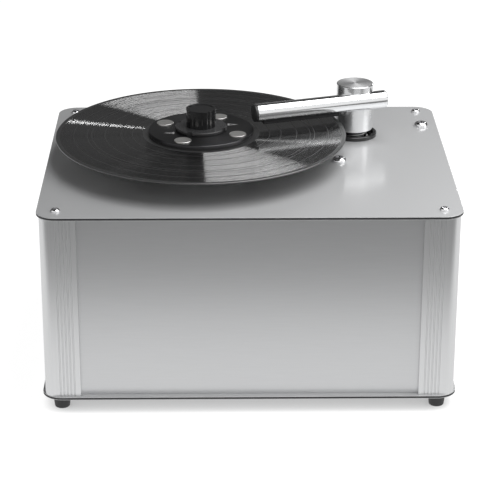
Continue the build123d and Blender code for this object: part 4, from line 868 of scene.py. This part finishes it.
along_tube = arm_place @ Matrix.Rotation(math.pi / 2, 4, "Y")

lathe_side = surface(
    "turned_column", (0.74, 0.745, 0.75), metallic=1, roughness=0.24,
    grain=900, spread=0.05, depth=4e-6, stretch=(0.02, 0.02, 1),
)
# The top is faced from the same aluminium as the side and has a real radial sheen, but its paler
# tone than the side's is painted light on the face that looks up.
painted_light_top = ringed(
    "faced_top_painted_light", (0.80, 0.805, 0.81), metallic=1, roughness=0.46,
    centre=arm_centre, rings=1500, spread=0.1, depth=6e-6,
)
lathe_sheen(painted_light_top, strength=0.5)
polished_tube = surface(
    "polished_tube", (0.80, 0.805, 0.81), metallic=1, roughness=0.10,
    grain=600, spread=0.06, depth=2e-6,
)

column_radius = (column_high.x - column_low.x) / 2
column_chamfer = 0.0006
top_chamfer = 0.0007
column_seat = 0.01105
column_bore = 0.008
column_edge = 0.00025
seat_top = column_low.z + 0.016
bore_top = deck_high.z + 0.046
facing_up = 0.98
column = turned(
    [
        (column_seat, column_low.z),
        (column_radius - column_chamfer, column_low.z),
        (column_radius, column_low.z + column_chamfer),
        (column_radius, column_high.z - top_chamfer),
        (column_radius - top_chamfer, column_high.z),
        (0, column_high.z),
        (0, bore_top),
        (column_bore, bore_top),
        (column_bore, seat_top),
        (column_seat, seat_top),
        (column_seat, column_low.z),
    ],
    144,
)
soften(column, column_edge, 3, 25)
column_place = Matrix.Translation((*arm_centre, 0))
settle(column, column_place)
channel_radius = tube_radius + 0.00005
channel_length = 0.08
bpy.ops.mesh.primitive_cylinder_add(
    vertices=128, radius=channel_radius, depth=channel_length
)
channel = bpy.context.object
channel.matrix_world = along_tube
cut(column, channel)
paint(column, lathe_side)
paint(column, painted_light_top, lambda middle, normal: normal.z > facing_up and middle.z > tube_height)
fit(column, "turned_post", "arm", "turned_aluminium", "arm_column")

tube = turned(
    [
        (tube_radius - tube_wall, -tip_reach),
        (tube_radius - tube_chamfer, -tip_reach),
        (tube_radius, -tip_reach + tube_chamfer),
        (tube_radius, tail_reach - cap_length),
        (tube_radius - tube_wall, tail_reach - cap_length),
        (tube_radius - tube_wall, -tip_reach),
    ],
    144,
)
onto_its_side = Matrix.Rotation(math.pi / 2, 4, "Y")
settle(tube, onto_its_side)
flat_middle = flat_start + flat_length / 2
mill_width = 2.2 * tube_radius
mill_height = 0.02
flat_cut = (flat_length, mill_width, mill_height)
mill(tube, (flat_middle, 0, -flat_depth - mill_height / 2), flat_cut)
mill(tube, (flat_middle, 0, -flat_depth), (slot_long, slot_wide, 2 * tube_wall))
bpy.ops.mesh.primitive_cylinder_add(vertices=48, radius=port_radius, depth=port_depth)
port = bpy.context.object
port.matrix_world = Matrix.Translation((0, port_place, 0)) @ Matrix.Rotation(math.pi / 2, 4, "X")
cut(tube, port)
soften(tube, tube_edge, 2, 30)
tube.matrix_world = arm_place
paint(tube, polished_tube)
fit(tube, "suction_tube", "arm", "turned_aluminium", "arm_tube")

insert_gap = 0.00005
insert_radius = tube_radius - tube_wall - insert_gap
plug_radius = tube_radius - 0.0004
plug_length = 0.0027
plug_depth = 0.008
plug_edge = 0.0007
plug_gap = 0.0001
black_plastic = surface(
    "black_plastic", (0.022, 0.022, 0.023), metallic=0, roughness=0.34,
    grain=1600, spread=0.2, depth=1e-5,
)
plug = turned(
    [
        (0, -tip_reach + plug_depth),
        (insert_radius, -tip_reach + plug_depth),
        (insert_radius, -tip_reach),
        (plug_radius, -tip_reach),
        (plug_radius, -tip_reach - plug_length),
        (0, -tip_reach - plug_length),
    ],
    96,
)
soften(plug, plug_edge, 4, 40)
settle(plug, onto_its_side)
plug_cut_x = -tip_reach + plug_depth / 2 + plug_gap
plug_cut_z = -flat_depth - mill_height / 2 + tube_wall
mill(plug, (plug_cut_x, 0, plug_cut_z), (plug_depth, mill_width, mill_height))
plug.matrix_world = arm_place
paint(plug, black_plastic)
fit(plug, "tip_stopper", "arm", "black_plastic", "arm_tip_plug")

tube_end = tail_reach - cap_length
tail_cap = turned(
    [
        (0, tube_end - cap_insert),
        (insert_radius, tube_end - cap_insert),
        (insert_radius, tube_end),
        (tube_radius, tube_end),
        (tube_radius, tail_reach - cap_chamfer),
        (tube_radius - cap_chamfer, tail_reach),
        (0, tail_reach),
    ],
    96,
)
soften(tail_cap, cap_edge, 3, 30)
tail_cap.matrix_world = along_tube
paint(tail_cap, polished_tube)
fit(tail_cap, "tail_stopper", "arm", "turned_aluminium", "arm_end_cap")

pad_width = 0.004
pad_height = 0.004
pad_gap = 0.0006
pad_edge = 0.0008
pad_length = flat_length - 0.001
velvet = surface(
    "black_velvet", (0.020, 0.020, 0.021), metallic=0, roughness=0.95,
    grain=5200, spread=0.5, depth=0.00025,
)
bpy.ops.mesh.primitive_cube_add(
    size=1, location=(0, 0, 0), scale=(pad_length, pad_width, pad_height)
)
pad = bpy.context.object
bpy.ops.object.transform_apply(scale=True)
soften(pad, pad_edge, 4)
pad_shift = slot_wide / 2 + pad_gap + pad_width / 2
pad_places = [
    arm_place @ Matrix.Translation((flat_middle, side * pad_shift, -flat_depth - pad_height / 2))
    for side in (-1, 1)
]
pads = repeated(pad, pad_places)
paint(pads, velvet)
fit(pads, "velvet_strips", "arm", "velvet", "velvet_pads")

# ---------------------------------------------------------------------------------- arm ring
# A trim ring round the foot of the column, turned and anodised black. It is glued to the deck
# and hides the edge of the hole that the arm's guide comes through.
ring_low, ring_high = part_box("arm_ring")
ring_radius = (ring_high.x - ring_low.x) / 2
ring_bore = 0.0203
ring_chamfer = 0.0008
ring_edge = 0.0002
ring_black = ringed(
    "black_ring", (0.035, 0.035, 0.036), metallic=0.4, roughness=0.20,
    centre=arm_centre, rings=2000, spread=0.15, depth=6e-6,
)
ring = turned(
    [
        (ring_bore, ring_low.z),
        (ring_radius, ring_low.z),
        (ring_radius, ring_high.z - ring_chamfer),
        (ring_radius - ring_chamfer, ring_high.z),
        (ring_bore + ring_chamfer, ring_high.z),
        (ring_bore, ring_high.z - ring_chamfer),
        (ring_bore, ring_low.z),
    ],
    144,
)
soften(ring, ring_edge, 3, 25)
ring.matrix_world = column_place
paint(ring, ring_black)
fit(ring, "trim_ring", "chassis", "gloss_black", "arm_ring")

# ------------------------------------------------------------------- inlet, switches, drain
# The moulded pieces in the rear and right panels. Each is a copy of the frame's own solid,
# merged back to whole faces and then softened along its edges.


def moulded(node_name, name, body, slot, material, width):
    """A softened copy of one of the frame's solids."""
    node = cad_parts[node_name]
    piece = copied(node, node.matrix_world)
    settle(piece)
    bpy.ops.object.mode_set(mode="EDIT")
    bpy.ops.mesh.select_all(action="SELECT")
    bpy.ops.mesh.remove_doubles(threshold=touch)
    bpy.ops.mesh.customdata_custom_splitnormals_clear()
    bpy.ops.mesh.dissolve_limited(angle_limit=math.radians(1))
    bpy.ops.object.mode_set(mode="OBJECT")
    soften(piece, width, 2, 40)
    piece.data.materials.clear()
    paint(piece, material)
    fit(piece, name, body, slot, node_name)
    return piece


mould_edge = 0.0003
bezel_edge = 0.00025
stopper_edge = 0.0004
grey_plastic = surface(
    "grey_plastic", (0.19, 0.19, 0.195), metallic=0, roughness=0.42,
    grain=1400, spread=0.1, depth=1e-5,
)
moulded("mains_inlet", "appliance_inlet", "chassis", "black_plastic", black_plastic, mould_edge)
moulded("switch_frames", "switch_bezels", "chassis", "black_plastic", black_plastic, bezel_edge)
moulded("power_rocker", "power_key", "power_switch", "gloss_black", gloss_black, mould_edge)
moulded("suction_rocker", "suction_key", "suction_switch", "gloss_black", gloss_black, mould_edge)
moulded("platter_rocker", "platter_key", "platter_switch", "gloss_black", gloss_black, mould_edge)
moulded("drain_outlet", "drain_spigot", "chassis", "grey_plastic", grey_plastic, mould_edge)
moulded("drain_cap", "drain_stopper", "drain_plug", "black_plastic", black_plastic, stopper_edge)

# ------------------------------------------------------------------------ platter and drive
# Under the record: the turned platter with its mat, magnets and spindle, and below the deck the
# bearing housing, the belt drive and the geared motor on its bracket. They are the frame's own
# solids.
bright_steel = surface(
    "ground_steel", (0.74, 0.74, 0.745), metallic=1, roughness=0.16,
    grain=1500, spread=0.08, depth=5e-6,
)
plain_steel = surface(
    "plain_steel", (0.56, 0.56, 0.565), metallic=1, roughness=0.32,
    grain=1300, spread=0.1, depth=1e-5,
)
zinc = surface(
    "zinc_plate", (0.60, 0.605, 0.60), metallic=1, roughness=0.38,
    grain=320, spread=0.14, depth=1e-5,
)
turned_platter = ringed(
    "turned_platter", (0.74, 0.745, 0.75), metallic=1, roughness=0.24,
    centre=platter_centre, rings=1400, spread=0.08, depth=6e-6,
)
mat_rubber = surface(
    "mat_rubber", (0.030, 0.030, 0.031), metallic=0, roughness=0.7,
    grain=1800, spread=0.25, depth=3e-5,
)
dress(turned_platter, "turned_aluminium", "platter")
dress(bright_steel, "bright_steel", "spindle", "platter_magnets")
dress(mat_rubber, "rubber", "platter_mat", "drive_belt")
dress(grey_plastic, "grey_plastic", "driven_pulley")
dress(plain_steel, "steel", "spindle_bearings", "motor_pulley", "drive_motor", "fixing_screws")
dress(zinc, "zinc_sheet", "bearing_housing", "motor_bracket", "gearbox")

# ------------------------------------------------------------------------------ inside pieces
# The arm's stem with its guide and bushes, the waste canister with its hoses, the suction fan
# and the control board. They are the frame's own solids too, but for the coil spring under the
# arm, a softened copy of its solid with a mesh of its own.
bronze = surface(
    "sintered_bronze", (0.56, 0.42, 0.22), metallic=1, roughness=0.40,
    grain=2400, spread=0.15, depth=2e-5,
)
white_plastic = surface(
    "white_plastic", (0.76, 0.76, 0.74), metallic=0, roughness=0.45,
    grain=500, spread=0.04, depth=1e-5,
)
lacquer = surface(
    "green_lacquer", (0.05, 0.20, 0.095), metallic=0, roughness=0.30,
    grain=900, spread=0.15, depth=1e-5,
)
dress(plain_steel, "steel", "arm_stem", "stem_clip", "fan_motor", "hose_clips")
dress(bronze, "bronze", "guide_bushes")
dress(black_plastic, "black_plastic", "guide_housing", "fan_housing", "thrust_washer")
dress(white_plastic, "white_plastic", "canister_lid", "canister")
dress(grey_plastic, "grey_plastic", "fan_impeller", "suction_hose", "drain_hose")
dress(lacquer, "board", "control_board")

wire_edge = 0.0001
coil_spring = moulded("lift_spring", "coil_spring", "chassis", "steel", plain_steel, wire_edge)
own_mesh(coil_spring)

# ---------------------------------------------------------------------------- floor and light
# A white table that ends in front of the machine, a large softbox over its right half, a dim one
# at its right, a small lamp behind, and a room that is white in front and dim behind. The table
# glows its own white to the camera and to the metal. Close to the machine that glow is dimmed by
# ambient occlusion, a painted shadow, on top of the real shadow on its grey paper.
table_size = (3.0, 2.94)
table_middle = (0, 1.03)
table_white = 0.937
painted_shadow_reach = 0.07
bpy.ops.mesh.primitive_plane_add(size=1, location=(*table_middle, 0))
table = bpy.context.object
table.scale = (*table_size, 1)
bpy.ops.object.transform_apply(location=True, scale=True)
table.name = "studio_table"

paper = bpy.data.materials.new("studio_paper")
paper.use_nodes = True
set_shader(paper, Base_Color=(0.25, 0.25, 0.25, 1), Roughness=0.9, Specular_IOR_Level=0.0)
set_shader(paper, Emission_Color=(1, 1, 1, 1))
nodes = paper.node_tree.nodes
links = paper.node_tree.links
sheet = nodes["Principled BSDF"]
path = nodes.new("ShaderNodeLightPath")
# Ambient occlusion dims the table's white glow close to the machine: this is a painted shadow.
contact = nodes.new("ShaderNodeAmbientOcclusion")
contact.inputs["Distance"].default_value = painted_shadow_reach
painted_contact_shadow = remap(paper.node_tree, contact.outputs["AO"], start=0.0, end=0.6, low=0.30, high=0.92)
links.new(painted_contact_shadow.outputs["Result"], sheet.inputs["Emission Strength"])
white = nodes.new("ShaderNodeEmission")
white.inputs["Strength"].default_value = table_white
split = nodes.new("ShaderNodeMixShader")
links.new(path.outputs["Is Glossy Ray"], split.inputs["Fac"])
links.new(sheet.outputs["BSDF"], split.inputs[1])
links.new(white.outputs["Emission"], split.inputs[2])
links.new(split.outputs["Shader"], nodes["Material Output"].inputs["Surface"])
table.data.materials.append(paper)


def softbox(name, width, depth, place, aim, radiance):
    """A rectangular lamp that the camera does not see, whose face has the given radiance."""
    data = bpy.data.lights.new(name, "AREA")
    data.shape = "RECTANGLE"
    data.size = width
    data.size_y = depth
    data.energy = radiance * math.pi * width * depth
    lamp = bpy.data.objects.new(name, data)
    bpy.context.collection.objects.link(lamp)
    lamp.location = place
    lamp.rotation_euler = (Vector(aim) - Vector(place)).to_track_quat("-Z", "Y").to_euler()
    lamp.visible_camera = False
    return lamp


key = softbox(
    "key_softbox", 1.2, 1.3, place=(0.60, -0.10, 1.30), aim=(0.60, -0.10, 0), radiance=4.2
)
side = softbox("side_softbox", 0.8, 1.0, place=(1.3, -0.2, 0.7), aim=(0, 0, 0.1), radiance=1.46)
glint = softbox(
    "glint_lamp", 0.08, 0.14, place=(0.476, 0.97, 0.625), aim=(-0.1, 0, 0.2), radiance=14
)

room = bpy.data.worlds.new("studio")
bpy.context.scene.world = room
room.use_nodes = True
nodes = room.node_tree.nodes
links = room.node_tree.links


def fade(direction, start, end, low, high):
    """A smooth step from one level to another along one axis of the direction looked in."""
    step = remap(room.node_tree, direction, start, end, low, high)
    step.interpolation_type = "SMOOTHSTEP"
    return step


def combine(operation, first, second):
    """Adds, multiplies or compares two sockets, or a socket and a number."""
    step = nodes.new("ShaderNodeMath")
    step.operation = operation
    links.new(first, step.inputs[0])
    if isinstance(second, float):
        step.inputs[1].default_value = second
    else:
        links.new(second, step.inputs[1])
    return step.outputs["Value"]


fill_level = 0.35
looked = nodes.new("ShaderNodeTexCoord")
axes = nodes.new("ShaderNodeSeparateXYZ")
links.new(looked.outputs["Generated"], axes.inputs["Vector"])
wall = fade(axes.outputs["Y"], start=-0.2, end=0.2, low=1.0, high=0.13)
below = fade(axes.outputs["Y"], start=-0.2, end=0.2, low=0.24, high=0.0)
rise = fade(axes.outputs["Z"], start=-0.08, end=0.08, low=0.0, high=1.0)
links.new(below.outputs["Result"], rise.inputs["To Min"])
links.new(wall.outputs["Result"], rise.inputs["To Max"])
ceiling = fade(axes.outputs["Z"], start=0.55, end=0.8, low=1.0, high=0.0)
walls = combine("MULTIPLY", rise.outputs["Result"], ceiling.outputs["Result"])
path = nodes.new("ShaderNodeLightPath")
mirrored = combine("MULTIPLY", walls, path.outputs["Is Glossy Ray"])
fill = combine("MULTIPLY", path.outputs["Is Diffuse Ray"], fill_level)
clear = combine("MAXIMUM", path.outputs["Is Camera Ray"], path.outputs["Is Transmission Ray"])
level = combine("ADD", combine("ADD", mirrored, fill), clear)
links.new(level, nodes["Background"].inputs["Strength"])
nodes["Background"].inputs["Color"].default_value = (1, 1, 1, 1)

# ------------------------------------------------------------------------------------- camera
# A long lens from the front, a little above the deck and far off, so that the upright edges
# stay almost upright.
camera_place = (-0.02867, -1.89843, 0.8931)
camera_roll = -0.0164
camera_dip = 0.3928
camera_turn = 0.0025
camera_data = bpy.data.cameras.new("camera")
camera_data.lens = 139.44
camera_data.sensor_width = 36
camera = bpy.data.objects.new("camera", camera_data)
bpy.context.collection.objects.link(camera)
roll = Matrix.Rotation(camera_roll, 3, "Z")
tilt = Matrix.Rotation(math.pi / 2 - camera_dip, 3, "X")
turn = Matrix.Rotation(camera_turn, 3, "Z")
camera.location = camera_place
camera.rotation_euler = (roll @ tilt @ turn).to_euler()
scene = bpy.context.scene
scene.camera = camera
scene.view_settings.view_transform = "Standard"
